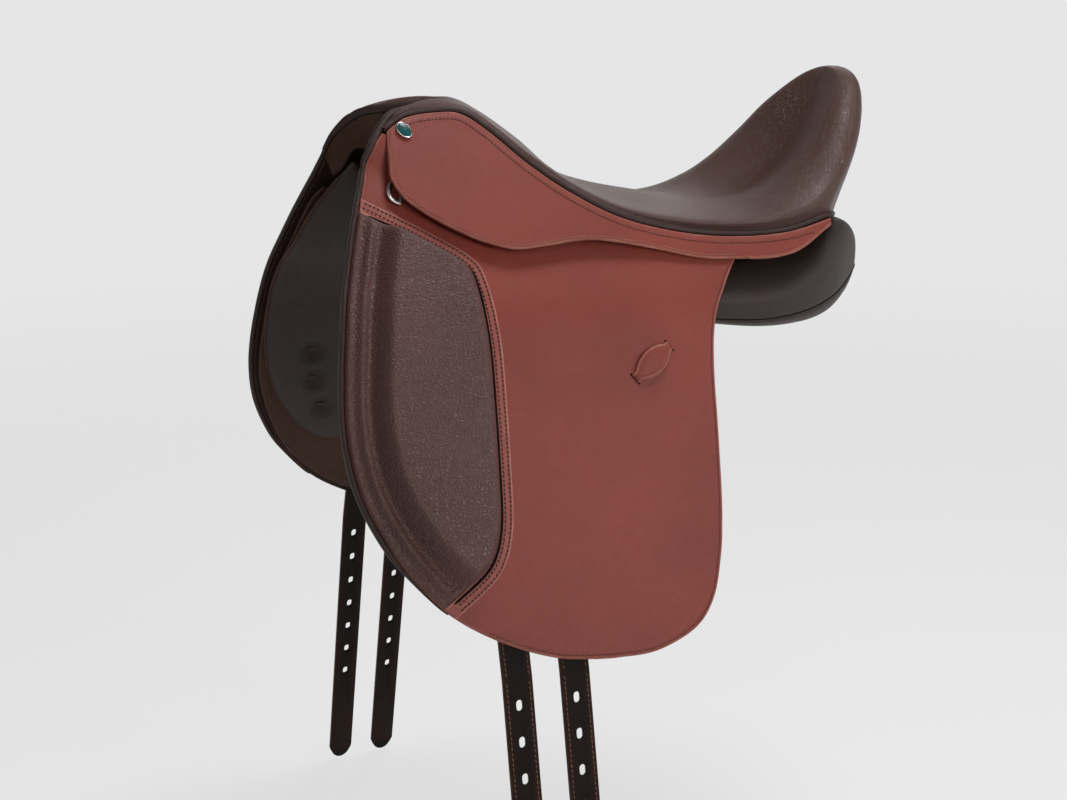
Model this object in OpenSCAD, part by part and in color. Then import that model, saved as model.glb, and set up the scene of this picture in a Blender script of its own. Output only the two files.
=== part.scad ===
// Dressage saddle: sprung tree, padded seat, skirts, long flaps, panels and girth straps
// Front is -X, the rider's left is -Y and up is +Z
// The origin is on the centre line, under the deepest point of the seat

/* [Side form] */
// Half width at the bend of the side
knuckle_w = 132; // [120:1:145]
// Height of the bend of the side
knuckle_z = -2; // [-8:1:4]
// Slope of the upper side, degrees from upright
upper_a = 32.6; // [31:0.1:34]
// Slope of the lower side, degrees from upright
lower_a = 19.4; // [17:0.1:21]
// Half length of the bend
bend = 22; // [16:1:26]
// Spread of the sides towards the rear, degrees
toe = 2.6; // [2:0.1:3.2]

/* [Leather] */
// Thickness of the flap
flap_t = 4; // [3:0.1:4.4]
// Thickness of the skirt
skirt_t = 3.5; // [2.8:0.1:4]
// Thickness of the sweat flap
sweat_t = 3; // [2:0.1:3.2]
// Thickness of a girth strap
strap_t = 4; // [3:0.1:4.4]
// Thickness of the seat leather
cover_t = 2.4; // [1.8:0.1:2.8]
// Gap that keeps two leathers apart
gap = 0.6; // [0.5:0.05:0.8]
// Stand-off of the skirt over the stirrup bar
stand_off = 8; // [7:0.1:10]
// Radius of the piping
piping_r = 2.2; // [1.6:0.1:2.4]

/* [Fold of the flap] */
// Fore and aft place of the fold's front end
fold_x = -283; // [-288:1:-278]
// Height of the fold's front end along the side
fold_v = 129; // [127:1:132]
// Slope of the fold, degrees down towards the rear
fold_a = 16; // [15.5:0.1:16.5]

/* [Girth straps] */
// Width of a girth strap
strap_w = 25; // [22:1:28]
// Fore and aft place of the front strap
strap_front_x = -204; // [-208:1:-200]
// Fore and aft place of the rear strap
strap_rear_x = -155; // [-159:1:-151]
// Place of the bend of the strap along the side
strap_v = -291; // [-296:1:-290]
// Slope of the free end, degrees from upright
tail_a = 14; // [10:0.5:19]
// Length of the free end
tail_l = 318; // [290:1:340]
// Bend to the first hole
first_hole = 22; // [18:1:30]
// Spacing of the holes
hole_pitch = 29.5; // [26:0.5:32]
// Number of holes
holes = 7; // [5:1:8]
// Width of a hole
hole_w = 5.5; // [4.6:0.1:7]
// Length of a hole
hole_l = 9; // [7.5:0.1:11]

/* [Fittings] */
// Length of the stirrup bar's blade
bar_l = 76; // [70:1:84]
// Height of the blade
bar_h = 11; // [9:0.5:12]
// Thickness of the blade
bar_t = 4.4; // [3.6:0.1:4.6]
// Wire radius of the dee
dee_r = 1.8; // [1.4:0.1:2]
// Inner half length of the dee
dee_h = 11; // [9:0.5:12]
// Half length of the saddle stud
stud_l = 9; // [7:0.5:10]
// Half height of the saddle stud
stud_h = 6.5; // [5:0.5:7.5]

/* [Padding] */
// Height of the knee block
knee_h = 17; // [13:0.5:20]
// Fullness of the front panel
fore_h = 16; // [12:0.5:18]
// Foam depth in the middle of the seat
foam_h = 15; // [11:0.5:16]
// Half width of the channel between the panels
channel = 33; // [31:0.5:36]

/* [Hidden] */
$fn = 48;

// Colours
seat_brown = [0.24, 0.15, 0.13];
red_brown = [0.50, 0.27, 0.22];
dark_brown = [0.28, 0.20, 0.20];
panel_black = [0.17, 0.14, 0.14];
strap_brown = [0.14, 0.09, 0.08];
steel = [0.75, 0.75, 0.76];

// Layers of the side, measured outwards from the inner face of the flap
strap_n = -gap - strap_t;
sweat_n = strap_n - gap - sweat_t;
panel_n = sweat_n - gap;
lobe_n = flap_t + stand_off;
axis_n = lobe_n + skirt_t + 0.5;
axis_half_n = -gap - strap_t / 2;

// Smooth step and spline helpers
function clamp01(t) = max(0, min(1, t));
function ease(t) = let (c = clamp01(t)) c * c * (3 - 2 * c);
function unit(p) = p / max(norm(p), 0.000001);
function spot(p, i) = i < 0 ? 2 * p[0] - p[1] : i >= len(p) ? 2 * p[len(p) - 1] - p[len(p) - 2] : p[i];
function bend_at(a, b, c, d, t) =
    0.5 * (2 * b + (c - a) * t + (2 * a - 5 * b + 4 * c - d) * t * t + (3 * b - a - 3 * c + d) * t * t * t);
function span(p, i, t) = bend_at(spot(p, i - 1), p[i], p[i + 1], spot(p, i + 2), t);
function curve(p, n) = [for (i = [0 : len(p) - 2], k = [0 : n - 1]) span(p, i, k / n), p[len(p) - 1]];

// A curve that ends on the centre line, square to it, so that both halves meet smoothly
function to_centre(p, n) = let (q = p[len(p) - 2], c = curve(concat(p, [[q[0], -q[1], q[2]]]), n))
    [for (i = [0 : len(c) - 1 - n]) c[i]];

// Points are drawn for a bend 132 wide and a fold 129 up, and move out or up with those sizes
more_w = knuckle_w - 132;
fold_share = fold_v / 129;
function widened(p) = [for (q = p) [q[0], q[1] - more_w * min(1, -q[1] / 50), q[2]]];
function with_fold(p) = [for (q = p) [q[0], q[1] > 0 ? q[1] * fold_share : q[1]]];

// The side form: two planes joined by a soft bend, in pattern coordinates x and v
function over(v) = v < -bend ? 0 : v > bend ? v : (v + bend) * (v + bend) / (4 * bend);
function share(v) = clamp01((v + bend) / (2 * bend));
function lean(v) = atan2(
    sin(lower_a) + (sin(upper_a) - sin(lower_a)) * share(v),
    cos(lower_a) + (cos(upper_a) - cos(lower_a)) * share(v));
function side_w(v) = knuckle_w - sin(lower_a) * v - (sin(upper_a) - sin(lower_a)) * over(v);
function side_z(v) = knuckle_z + cos(lower_a) * v + (cos(upper_a) - cos(lower_a)) * over(v);
function side_at(x, v, n) = [x, -side_w(v) - n * cos(lean(v)), side_z(v) + n * sin(lean(v))];
function toed(p) = let (d = p[0] - fold_x)
    [fold_x + d * cos(toe) + p[1] * sin(toe), p[1] * cos(toe) - d * sin(toe), p[2]];

// The fold line of the flap and skirt
function fold_at(x) = fold_v - (x - fold_x) * tan(fold_a);
function skirt_n(x) = flap_t + gap + (stand_off - gap) * (1 - ease((x + 110) / 130));

// A closed solid between two grids of points
module slab(top, bottom) {
    r = len(top);
    c = len(top[0]);
    points = [for (row = top) each row, for (row = bottom) each row];
    function at(k, i, j) = (k * r + i) * c + j;
    faces = [
        for (i = [0 : r - 2], j = [0 : c - 2]) each [
            [at(0, i, j), at(0, i, j + 1), at(0, i + 1, j + 1)],
            [at(0, i, j), at(0, i + 1, j + 1), at(0, i + 1, j)],
            [at(1, i, j), at(1, i + 1, j + 1), at(1, i, j + 1)],
            [at(1, i, j), at(1, i + 1, j), at(1, i + 1, j + 1)]],
        for (i = [0 : r - 2]) each [
            [at(0, i, 0), at(0, i + 1, 0), at(1, i + 1, 0)],
            [at(0, i, 0), at(1, i + 1, 0), at(1, i, 0)],
            [at(0, i, c - 1), at(1, i + 1, c - 1), at(0, i + 1, c - 1)],
            [at(0, i, c - 1), at(1, i, c - 1), at(1, i + 1, c - 1)]],
        for (j = [0 : c - 2]) each [
            [at(0, 0, j), at(1, 0, j + 1), at(0, 0, j + 1)],
            [at(0, 0, j), at(1, 0, j), at(1, 0, j + 1)],
            [at(0, r - 1, j), at(0, r - 1, j + 1), at(1, r - 1, j + 1)],
            [at(0, r - 1, j), at(1, r - 1, j + 1), at(1, r - 1, j)]]];
    polyhedron(points, faces);
}

// A closed solid through rings of points, with flat ends
module loft(rings) {
    r = len(rings);
    c = len(rings[0]);
    points = [for (ring = rings) each ring];
    faces = [
        for (i = [0 : r - 2], j = [0 : c - 1]) each [
            [i * c + j, i * c + (j + 1) % c, (i + 1) * c + (j + 1) % c],
            [i * c + j, (i + 1) * c + (j + 1) % c, (i + 1) * c + j]],
        for (j = [1 : c - 2]) [0, j + 1, j],
        for (j = [1 : c - 2]) [(r - 1) * c, (r - 1) * c + j, (r - 1) * c + j + 1]];
    polyhedron(points, faces);
}

// Rings of a bar swept along a path: a is the half size along the given direction, b across it
function along(path, i) = unit(path[min(i + 1, len(path) - 1)] - path[max(i - 1, 0)]);
function bar_ring(p, t, up, a, b, s) = let (w = unit(cross(t, up)), u = cross(w, t))
    [for (k = [0 : s - 1]) let (q = 360 * (k + 0.5) / s) p + u * a * sin(q) + w * b * cos(q)];
function tube(path, r, s) = [for (i = [0 : len(path) - 1])
    bar_ring(path[i], along(path, i), [0.3, 0.2, 1], r, r, s)];

// A sheet on the side form, ruled between two edge curves of the same length
function ruled(a, b, cols) = [for (i = [0 : len(a) - 1])
    [for (k = [0 : cols]) a[i] + (b[i] - a[i]) * k / cols]];
function laid(rows, n) = [for (row = rows) [for (q = row) side_at(q[0], q[1], n)]];
module sheet(rows, n, t) slab(laid(rows, n + t), laid(rows, n));

// Placing: the left side turned out by the toe, and the frames of its flat parts
module left() translate([fold_x, 0, 0]) rotate([0, 0, -toe]) translate([-fold_x, 0, 0]) children();
module right() mirror([0, 1, 0]) left() children();
module upper() translate([0, -knuckle_w, knuckle_z]) rotate([90 - upper_a, 0, 0]) children();
module lower() translate([0, -knuckle_w, knuckle_z]) rotate([90 - lower_a, 0, 0]) children();
module fold() upper() translate([fold_x, fold_v, 0]) rotate([0, 0, -fold_a]) children();

// Edges of the flap, from the fold to the middle of its lower edge
flap_front = [[-280, 126], [-288, 101], [-296, 75], [-304, 45], [-312, 12], [-320, -40], [-323, -80],
    [-321, -112], [-315, -140], [-303, -169], [-287, -197], [-256, -234], [-216, -261], [-172, -279],
    [-136, -285]];
flap_rear = [[34, 36], [26, 24], [17, 9], [8, -8], [2, -30], [-2, -64], [-4, -100], [-6, -130],
    [-8, -158], [-11, -186], [-16, -214], [-27, -248], [-47, -271], [-84, -285], [-122, -286]];
function under_fold(p, d) = [p[0], min(p[1], fold_at(p[0]) - d)];
flap_rows = ruled([for (p = curve(flap_front, 2)) under_fold(p, gap / 2)],
    [for (p = curve(flap_rear, 2)) under_fold(p, gap / 2)], 5);

// Edges of the sweat flap
sweat_front = [[-278, 108], [-288, 92], [-299, 50], [-310, 5], [-317, -46], [-318, -105], [-300, -166],
    [-268, -213], [-214, -252], [-140, -275]];
sweat_rear = [[10, 30], [5, 22], [-2, 2], [-8, -22], [-11, -60], [-14, -110], [-18, -170], [-30, -224],
    [-66, -262], [-122, -276]];

// Edges of the knee block
knee_front = with_fold([[-283, 97], [-289, 85], [-296, 62], [-302, 38], [-308, 14], [-315, -24], [-319, -72],
    [-314, -130], [-304, -162], [-288, -191], [-267, -216], [-251, -229]]);
knee_rear = with_fold([[-275, 95], [-250, 80], [-223, 60], [-203, 43], [-196, 22], [-196, -22], [-198, -70],
    [-202, -133], [-206, -173], [-213, -197], [-228, -215], [-245, -227]]);

// Edges of the skirt: the seam with the seat, and the lower edge
skirt_seam = [[-257, 163], [-239, 175], [-212, 179], [-191, 177], [-170, 160], [-139, 127], [-106, 99],
    [-66, 76], [-13, 62], [42, 56], [91, 58], [134, 69]];
skirt_low = [[-261, 121], [-252, 119], [-226, 112], [-204, 106], [-178, 98], [-146, 89], [-110, 79],
    [-68, 67], [-13, 51], [42, 35], [91, 38], [133, 62]];
lobe_top = [[-261, 0], [-254, 0], [-243, 0], [-222, 0], [-196, 0], [-170, 0], [-143, 0], [-116, 0],
    [-91, 0], [-46, 0], [-2, 0], [30, 0], [42, 0]];
lobe_low = [[-260, 119], [-257, 110], [-248, 97], [-226, 79], [-195, 61], [-167, 52], [-141, 53],
    [-114, 56], [-90, 56], [-45, 48], [-1, 36], [30, 32], [43, 33]];
function over_fold(p, d) = [p[0], max(p[1], fold_at(p[0]) + d)];
function skirt_grid(rows, t) = [for (row = rows) [for (q = row) side_at(q[0], q[1], skirt_n(q[0]) + t)]];
skirt_rows = ruled(curve(skirt_seam, 2), [for (p = curve(skirt_low, 2)) over_fold(p, gap / 2)], 3);
lobe_rows = ruled([for (p = curve(lobe_top, 2)) [p[0], fold_at(p[0]) - gap / 2]],
    [for (p = curve(lobe_low, 2)) under_fold(p, gap + 1)], 3);

// Guide curves of the seat, pommel to cantle: seam, side, rim and middle of the left half
function off_seam(i, d) = let (t = along(skirt_seam, i), q = skirt_seam[i] + [-t[1], t[0]] * d)
    toed(side_at(q[0], q[1], skirt_n(skirt_seam[i][0]) + skirt_t / 2));
seam_side = [for (i = [0 : len(skirt_seam) - 1]) off_seam(i, 2 * piping_r + 2 * gap)];
seam_back = widened([[140, -100, 60], [159, -76, 58], [174, -42, 56], [180, -0.3, 55]]);
seat_seam = concat(seam_side, seam_back);
seat_side = widened([[-253, -47, 152], [-232, -42, 161], [-205, -42, 163.5], [-185, -45, 160],
    [-166, -56, 146], [-136, -76, 119], [-104, -90, 96], [-64, -104, 77],
    [-10, -113, 65.5], [46, -118, 62.5], [90, -118, 69],
    [124, -114, 82], [152, -103, 104], [181, -79, 130], [203, -43, 153], [212, -0.3, 160]]);
seat_rim = widened([[-238, -28, 159], [-216, -22, 165], [-192, -22, 165], [-174, -25, 158], [-158, -33, 146],
    [-131, -46, 123], [-100, -56, 99], [-60, -68, 80], [-6, -80, 69], [45, -86, 65], [89, -88, 68],
    [121, -91, 91], [146, -85, 123], [167, -66, 153], [186, -34, 177], [194, -0.3, 186]]);
seat_mid = [[-193, 0, 165], [-186, 0, 166], [-174, 0, 162], [-160, 0, 154], [-146, 0, 145], [-122, 0, 127],
    [-96, 0, 103], [-58, 0, 89], [-5, 0, 78], [44, 0, 70], [86, 0, 70], [117, 0, 82], [143, 0, 104],
    [164, 0, 131], [180, 0, 158], [188, 0, 175]];
seat_steps = 2;
rib_steps = 3;
mid_lines = [to_centre(seat_seam, seat_steps), to_centre(seat_side, seat_steps),
    to_centre(seat_rim, seat_steps), curve(seat_mid, seat_steps)];
function half_rib(i) = let (s = mid_lines[0][i], b = mid_lines[1][i], r = mid_lines[2][i],
    c = mid_lines[3][i], m = [r[0], -r[1], r[2]])
    concat([for (k = [0 : rib_steps - 1]) bend_at(2 * s - b, s, b, r, k / rib_steps)],
        [for (k = [0 : rib_steps - 1]) bend_at(s, b, r, c, k / rib_steps)],
        [for (k = [0 : rib_steps - 1]) bend_at(b, r, c, m, k / rib_steps)], [c]);
function whole_rib(i) = let (h = half_rib(i), n = len(h))
    concat(h, [for (k = [n - 2 : -1 : 0]) [h[k][0], -h[k][1], h[k][2]]]);
seat_count = len(mid_lines[0]);
seat_grid = [for (i = [0 : seat_count - 1]) whole_rib(i)];
rib_count = len(seat_grid[0]);
function seat_normal(i, j) = unit(cross(
    seat_grid[i][min(j + 1, rib_count - 1)] - seat_grid[i][max(j - 1, 0)],
    seat_grid[min(i + 1, seat_count - 1)][j] - seat_grid[max(i - 1, 0)][j]));
seat_normals = [for (i = [0 : seat_count - 1]) [for (j = [0 : rib_count - 1]) -seat_normal(i, j)]];
function sunk(d) = [for (i = [0 : seat_count - 1])
    [for (j = [0 : rib_count - 1]) seat_grid[i][j] - seat_normals[i][j] * d]];
function from_seam(j) = min(j, rib_count - 1 - j) / rib_steps;

// Depth of the foam: thin at the seam, fuller to the middle, and thinner over the head and the cantle
seam_foam = 2.5;
side_foam = 6;
function foam_depth(i, j) = let (c = from_seam(j), station = i / seat_steps,
    full = c < 1 ? seam_foam + (side_foam - seam_foam) * c : side_foam + (foam_h - side_foam) * (c - 1) / 2)
    full * (0.4 + 0.6 * ease((station - 3) / 3)) * (1 - 0.8 * ease((station - 11.5) / 2.5));
function foam_floor(extra) = [for (i = [0 : seat_count - 1]) [for (j = [0 : rib_count - 1])
    seat_grid[i][j] - seat_normals[i][j] * (cover_t + gap + foam_depth(i, j) + extra)]];

// Path of the tree's frame, a closed ring: head, rails and cantle
rail_half_t = 5;
rail_half_w = 13;
cantle_half_w = 9;
rail = widened([[-174, 0, 139], [-176, -24, 134], [-178, -42, 121], [-170, -54, 104], [-150, -63, 86],
    [-100, -78, 61], [-30, -91, 45], [46, -93, 37], [98, -86, 44], [138, -64, 66],
    [166, -36, 88], [177, 0, 98]]);
rail_curve = curve(rail, 3);
function rail_axis(p) = unit(p - [p[0] + 0.9 * max(0, p[0] - 110), 0, 20 - 120 * ease((p[0] + 160) / 110)]);
rail_loop = concat(rail_curve, [for (i = [len(rail_curve) - 2 : -1 : 1])
    [rail_curve[i][0], -rail_curve[i][1], rail_curve[i][2]]]);

module tree_frame() color([0.35, 0.33, 0.30]) {
    n = len(rail_loop);
    s = 8;
    rings = [for (i = [0 : n - 1]) bar_ring(rail_loop[i],
        unit(rail_loop[(i + 1) % n] - rail_loop[(i + n - 1) % n]), rail_axis(rail_loop[i]), rail_half_t,
        rail_half_w + (cantle_half_w - rail_half_w) * ease((rail_loop[i][0] - 90) / 60), s)];
    faces = [for (i = [0 : n - 1], j = [0 : s - 1]) each [
        [i * s + j, i * s + (j + 1) % s, ((i + 1) % n) * s + (j + 1) % s],
        [i * s + j, ((i + 1) % n) * s + (j + 1) % s, ((i + 1) % n) * s + j]]];
    polyhedron([for (ring = rings) each ring], faces);
}

// Steel arch of the head, with its points down both sides
arch_left = widened([[-243, -91, 42], [-238, -70, 76], [-220, -51, 105], [-187, -29, 119], [-170, 0, 126]]);
plate_half_t = 2;
plate_half_w = 12;
arch_half = curve(arch_left, 3);
arch_path = concat(arch_half, [for (i = [len(arch_half) - 2 : -1 : 0])
    [arch_half[i][0], -arch_half[i][1], arch_half[i][2]]]);
module head_plate() color(steel) loft([for (i = [0 : len(arch_path) - 1])
    bar_ring(arch_path[i], along(arch_path, i), unit(arch_path[i] - [arch_path[i][0], 0, 20]),
        plate_half_t, plate_half_w, 8)]);

// Rivets of the head plate, two on each point
module head_rivets() color(steel) {
    for (m = [0, 1], k = [4, 7])
        mirror([0, m, 0]) let (p = arch_half[k], d = unit(p - [p[0], 0, 20]))
            translate(p + d * (plate_half_t + 0.8)) rotate([acos(d[2]), 0, 0]) cylinder(h = 2, r = 3.5);
}

// Flat spring under each rail
spring_half_t = 1.2;
spring_half_w = 8;
module tree_spring() color(steel) {
    first = 11;
    last = 25;
    path = [for (i = [first : last]) rail_curve[i] - rail_axis(rail_curve[i])
        * (rail_half_t + spring_half_t + 0.4 + gap)];
    loft([for (i = [0 : len(path) - 1]) bar_ring(path[i], along(path, i), rail_axis(rail_curve[first + i]),
        spring_half_t, spring_half_w, 6)]);
}

// Webbing under the foam, from the head to the cantle
seat_web_t = 1.8;
module seat_webbing() color([0.75, 0.70, 0.60]) {
    c = floor(rib_count / 2);
    floor_top = foam_floor(gap);
    floor_low = foam_floor(gap + seat_web_t);
    slab([for (i = [9 : 25]) [for (j = [c - 1 : c + 1]) floor_top[i][j]]],
        [for (i = [9 : 25]) [for (j = [c - 1 : c + 1]) floor_low[i][j]]]);
}

module seat_foam() color([0.80, 0.75, 0.55]) slab(sunk(cover_t + 1.5 * gap), foam_floor(0.3));

module seat_cover() color(seat_brown) slab(sunk(0), sunk(cover_t));

// Roll of leather round the cut-back front of the pommel, just ahead of the seat's front edge
roll_r = piping_r + 1.4;
pommel_path = [for (j = [0 : rib_count - 1]) let (p = seat_grid[0][j], q = seat_grid[1][j],
    d = unit(cross(along(seat_grid[0], j), seat_normals[0][j])))
    p + d * sign(d * (p - q)) * (roll_r + 2 * gap) - seat_normals[0][j] * 1.5];
roll_down = [toed(side_at(-279, 139, 3)), toed(side_at(-271, 152, 9))];
roll_path = concat(roll_down, pommel_path,
    [for (k = [1, 0]) [roll_down[k][0], -roll_down[k][1], roll_down[k][2]]]);
module pommel_roll() color(seat_brown) loft(tube(roll_path, roll_r, 8));

// Lining from the roll down under the head, to the panels and the channel
lining_back = widened([[-258, -46, 120], [-242, -40, 117], [-222, -32, 109], [-200, -20, 99],
    [-186, -8, 95], [-182, 0, 94]]);
lining_end = [for (k = [0 : 9]) let (t = k * 5 / 9, i = min(4, floor(t))) span(lining_back, i, t - i)];
module head_lining() color(panel_black) {
    ends = concat(lining_end,
        [for (k = [8 : -1 : 0]) [lining_end[k][0], -lining_end[k][1], lining_end[k][2]]]);
    rows = [for (k = [0 : 3]) [for (j = [0 : rib_count - 1])
        let (a = pommel_path[j] + [1, 0, -roll_r - gap]) a + (ends[j] - a) * k / 3]];
    slab([for (row = rows) [for (p = row) p + [1.6, 0, 0]]], rows);
}

// Piping in the seam between the seat and the skirt, round to the back of the cantle
welt_path = concat([for (i = [1 : len(skirt_seam) - 1]) off_seam(i, piping_r + gap)],
    [for (p = seam_back) p - [0, 0, piping_r + gap]]);
module seat_welt() color(red_brown) loft(tube(curve(welt_path, 2), piping_r * 0.9, 6));

// Stirrup bar: plate on the tree, a neck at the front and a blade open to the rear
bar_s = 86;
bar_y = 22;
bar_n = flap_t + 1.4;
module stirrup_bar() color(steel) fold() {
    translate([bar_s - 16, bar_y - 11, -4 - gap]) cube([bar_l + 4, 22, 4]);
    translate([bar_s - 12, bar_y - bar_h / 2, -gap]) cube([12, bar_h, bar_n + gap]);
    difference() {
        union() {
            translate([bar_s - 12, bar_y - bar_h / 2, bar_n]) cube([bar_l, bar_h, bar_t]);
            translate([bar_s + bar_l - 12, bar_y, bar_n]) cylinder(h = bar_t, r = bar_h / 2);
        }
        translate([bar_s + bar_l - 12, bar_y, bar_n - 1]) cylinder(h = bar_t + 2, r = 2.2);
    }
}

// Rivets of the stirrup bar
module bar_rivets() color(steel) fold()
    for (d = [6, 28, 50], e = [-8, 8])
        translate([bar_s - 16 + d + 2, bar_y + e, -gap + 0.1]) cylinder(h = 1.6, r = 2.4);

// Thumb catch on the end of the blade, with its own pin through the blade
module stirrup_catch() color(steel) fold() translate([bar_s + bar_l - 12, bar_y, 0]) {
    translate([0, 0, bar_n - 0.2]) cylinder(h = bar_t + 0.6, r = 1.8);
    translate([0, 0, bar_n + bar_t + 0.3]) cylinder(h = 1.6, r = 4.2);
    translate([-3, -15, bar_n + bar_t + 0.3]) cube([6, 15, 1.6]);
}

module skirt() color(red_brown) slab(skirt_grid(skirt_rows, 0), skirt_grid(skirt_rows, skirt_t));

module skirt_lobe() color(red_brown) slab(skirt_grid(lobe_rows, 0), skirt_grid(lobe_rows, skirt_t));

// Plain oval stud near the skirt's front corner
module saddle_stud() color([0.20, 0.50, 0.52]) upper() translate([-243, 162, lobe_n + skirt_t + gap / 2])
    rotate([0, 0, 12]) linear_extrude(height = 2.6)
        polygon([for (k = [0 : 35]) [stud_l * cos(10 * k), stud_h * sin(10 * k)]]);

// Fixed strip of the flap above its fold
module flap_top() color(red_brown) fold() translate([6, gap / 2, 0])
    linear_extrude(height = flap_t) polygon([[0, 0], [326, 0], [318, 9], [34, 9], [28, 20], [8, 14]]);

module flap() color(red_brown) sheet(flap_rows, 0, flap_t);

// Crown of the knee block: u runs front to rear and t from top to bottom
function crown(u, t) = pow(max(0, sin(180 * pow(u, 1.5))), 0.55) * pow(max(0, sin(180 * t)), 0.35);
knee_rows = ruled(curve(knee_front, 2), curve(knee_rear, 2), 7);
module knee_block() color(dark_brown) {
    n = len(knee_rows);
    slab([for (i = [0 : n - 1]) [for (j = [0 : 7]) side_at(knee_rows[i][j][0], knee_rows[i][j][1],
        flap_t + gap + 4 + knee_h * crown(j / 7, i / (n - 1)))]], laid(knee_rows, flap_t + gap));
}

// Piping round the flap's front edge
flap_edge = curve(flap_front, 2);
tip_point = 11;
module flap_welt() color(dark_brown) loft(tube([for (i = [0 : 2 * tip_point])
    let (t = unit(flap_edge[i + 1] - flap_edge[max(i - 1, 0)]),
        q = flap_edge[i] + [t[1], -t[0]] * (piping_r + gap))
    side_at(q[0], q[1] - (i == 0 ? 2 : 0), flap_t / 2)], piping_r, 6));

// Keeper for the end of the stirrup leather: a lens-shaped tab
keeper_r = 33;
keeper_off = 24;
keeper_t = 2;
module keeper() color(red_brown) lower() translate([-58, -48, flap_t + gap / 2]) rotate([0, 0, 43])
    linear_extrude(height = keeper_t) intersection() {
        translate([0, -keeper_off]) circle(r = keeper_r, $fn = 96);
        translate([0, keeper_off]) circle(r = keeper_r, $fn = 96);
    }

// Dee on the flap's front corner: the bar turns in a chape under the skirt
dee_s = 35.5;
dee_y = -8.5;
dee_n = flap_t + 3.4;
chape_w = 12;
module dee_chape() color(red_brown) fold() {
    translate([dee_s + dee_r + gap, dee_y - chape_w / 2, flap_t + gap / 2]) cube([16, chape_w, 2.6]);
    translate([dee_s, dee_y - chape_w / 2, dee_n]) rotate([-90, 0, 0]) difference() {
        cylinder(h = chape_w, r = dee_r + 1);
        translate([0, 0, -1]) cylinder(h = chape_w + 2, r = dee_r + 0.3);
    }
    translate([dee_s + dee_r + 0.5, dee_y - chape_w / 2, dee_n - 1]) cube([2, chape_w, 1.2]);
}

module dee_ring() color(steel) fold() translate([dee_s, dee_y, dee_n]) {
    translate([0, -dee_h, 0]) rotate([-90, 0, 0]) cylinder(h = 2 * dee_h, r = dee_r);
    rotate([0, 0, 90]) rotate_extrude(angle = 180) translate([dee_h, 0]) circle(r = dee_r);
}

module sweat_flap() color(dark_brown)
    sheet(ruled(curve(sweat_front, 2), curve(sweat_rear, 2), 5), sweat_n, sweat_t);

// Front panel: padded, with three tufts near its front edge
fore_front = [[-259, 143], [-274, 118], [-291, 83], [-303, 39], [-313, -10], [-315, -66], [-304, -117],
    [-278, -161], [-250, -182]];
fore_rear = [[-230, 126], [-220, 104], [-208, 74], [-196, 36], [-184, -10], [-178, -66], [-186, -117],
    [-206, -161], [-238, -183]];
tufts = [[-272, -72], [-268, -104], [-258, -136]];
fore_rows = ruled(curve(fore_front, 3), curve(fore_rear, 3), 8);
function tuft_sink(q) = max([for (c = tufts) ease(1 - norm(q - c) / 16)]);
function fore_base(q) = panel_n - 8 * ease((q[1] - 20) / 40);
function fore_pad(q, u, t) = 3 + fore_h * pow(max(0, sin(180 * u)), 0.6) * pow(max(0, sin(180 * t)), 0.4)
    * (1 - 0.45 * tuft_sink(q));
module front_panel() color(panel_black) {
    n = len(fore_rows);
    slab([for (row = fore_rows) [for (q = row) side_at(q[0], q[1], fore_base(q))]],
        [for (i = [0 : n - 1]) [for (j = [0 : 8]) let (q = fore_rows[i][j])
            side_at(q[0], q[1], fore_base(q) - fore_pad(q, j / 8, i / (n - 1)))]]);
}

// Rear panel: full sections along the back, with drawn-in gusset seams
// Each station is x, distance out, height, half length, half depth and slope
pad_stations = [[-190, 68, 54, 32, 8, 52], [-150, 73, 39, 42, 13, 46], [-90, 79, 20, 46, 16, 36],
    [-20, 84, 8, 48, 20, 26], [56, 85, -3, 50, 25, 17], [104, 82, -2, 47, 31, 12], [140, 74, 4, 40, 36, 8],
    [168, 64, 11, 29, 33, 6], [186, 58, 15, 17, 21, 4], [193, 55, 15, 6, 8, 3]];
function super(c, e) = sign(c) * pow(abs(c), e);
function seam_in(q) = 1 - 0.07 * max(ease(1 - abs(q - 338) / 16), ease(1 - abs(q - 38) / 16));
function pad_ring(s) = [for (k = [0 : 23]) let (q = 15 * k, a = s[3] * super(cos(q), 0.7) * seam_in(q),
    b = s[4] * super(sin(q), 0.75) * seam_in(q))
    [s[0], -max(channel, s[1] + more_w + a * cos(s[5]) + b * sin(s[5])),
        s[2] - a * sin(s[5]) + b * cos(s[5])]];
module rear_panel() color(panel_black) loft([for (s = curve(pad_stations, 2)) pad_ring(s)]);

// Strip that closes the top of the channel, arched from one panel's inner shoulder to the other's
strip_t = 2;
strip_rise = 12;
shoulder = 10;
strip_edges = [for (s = curve(pad_stations, 2)) if (s[0] > -151 && s[0] < 180) pad_ring(s)[shoulder]];
function strip_arch(up) = [for (e = strip_edges) [for (k = [-3 : 3])
    [e[0], -e[1] * k / 3, e[2] + up + strip_rise * (1 - k * k / 9)]]];
module gullet_strip() color(panel_black) slab(strip_arch(gap + strip_t), strip_arch(gap));

// Leather pocket on the panel for each point of the head plate
pocket_rows = ruled([[-258, 92], [-257, 75], [-253, 56], [-248, 46]],
    [[-222, 92], [-223, 75], [-227, 56], [-234, 46]], 3);
module point_pocket() color(dark_brown) slab(
    [for (row = pocket_rows) [for (q = row) side_at(q[0], q[1], fore_base(q) + 1.9)]],
    [for (row = pocket_rows) [for (q = row) side_at(q[0], q[1], fore_base(q) + 0.4)]]);

// Webbing that carries both girth straps
module girth_web() color([0.80, 0.76, 0.66]) upper() translate([0, 0, strap_n])
    linear_extrude(height = strap_t) polygon([
        [strap_front_x - strap_w / 2, 44], [strap_rear_x + strap_w / 2, 44],
        [strap_rear_x + strap_w / 2 - 6, 82], [strap_front_x - strap_w / 2 + 6, 94]]);

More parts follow.
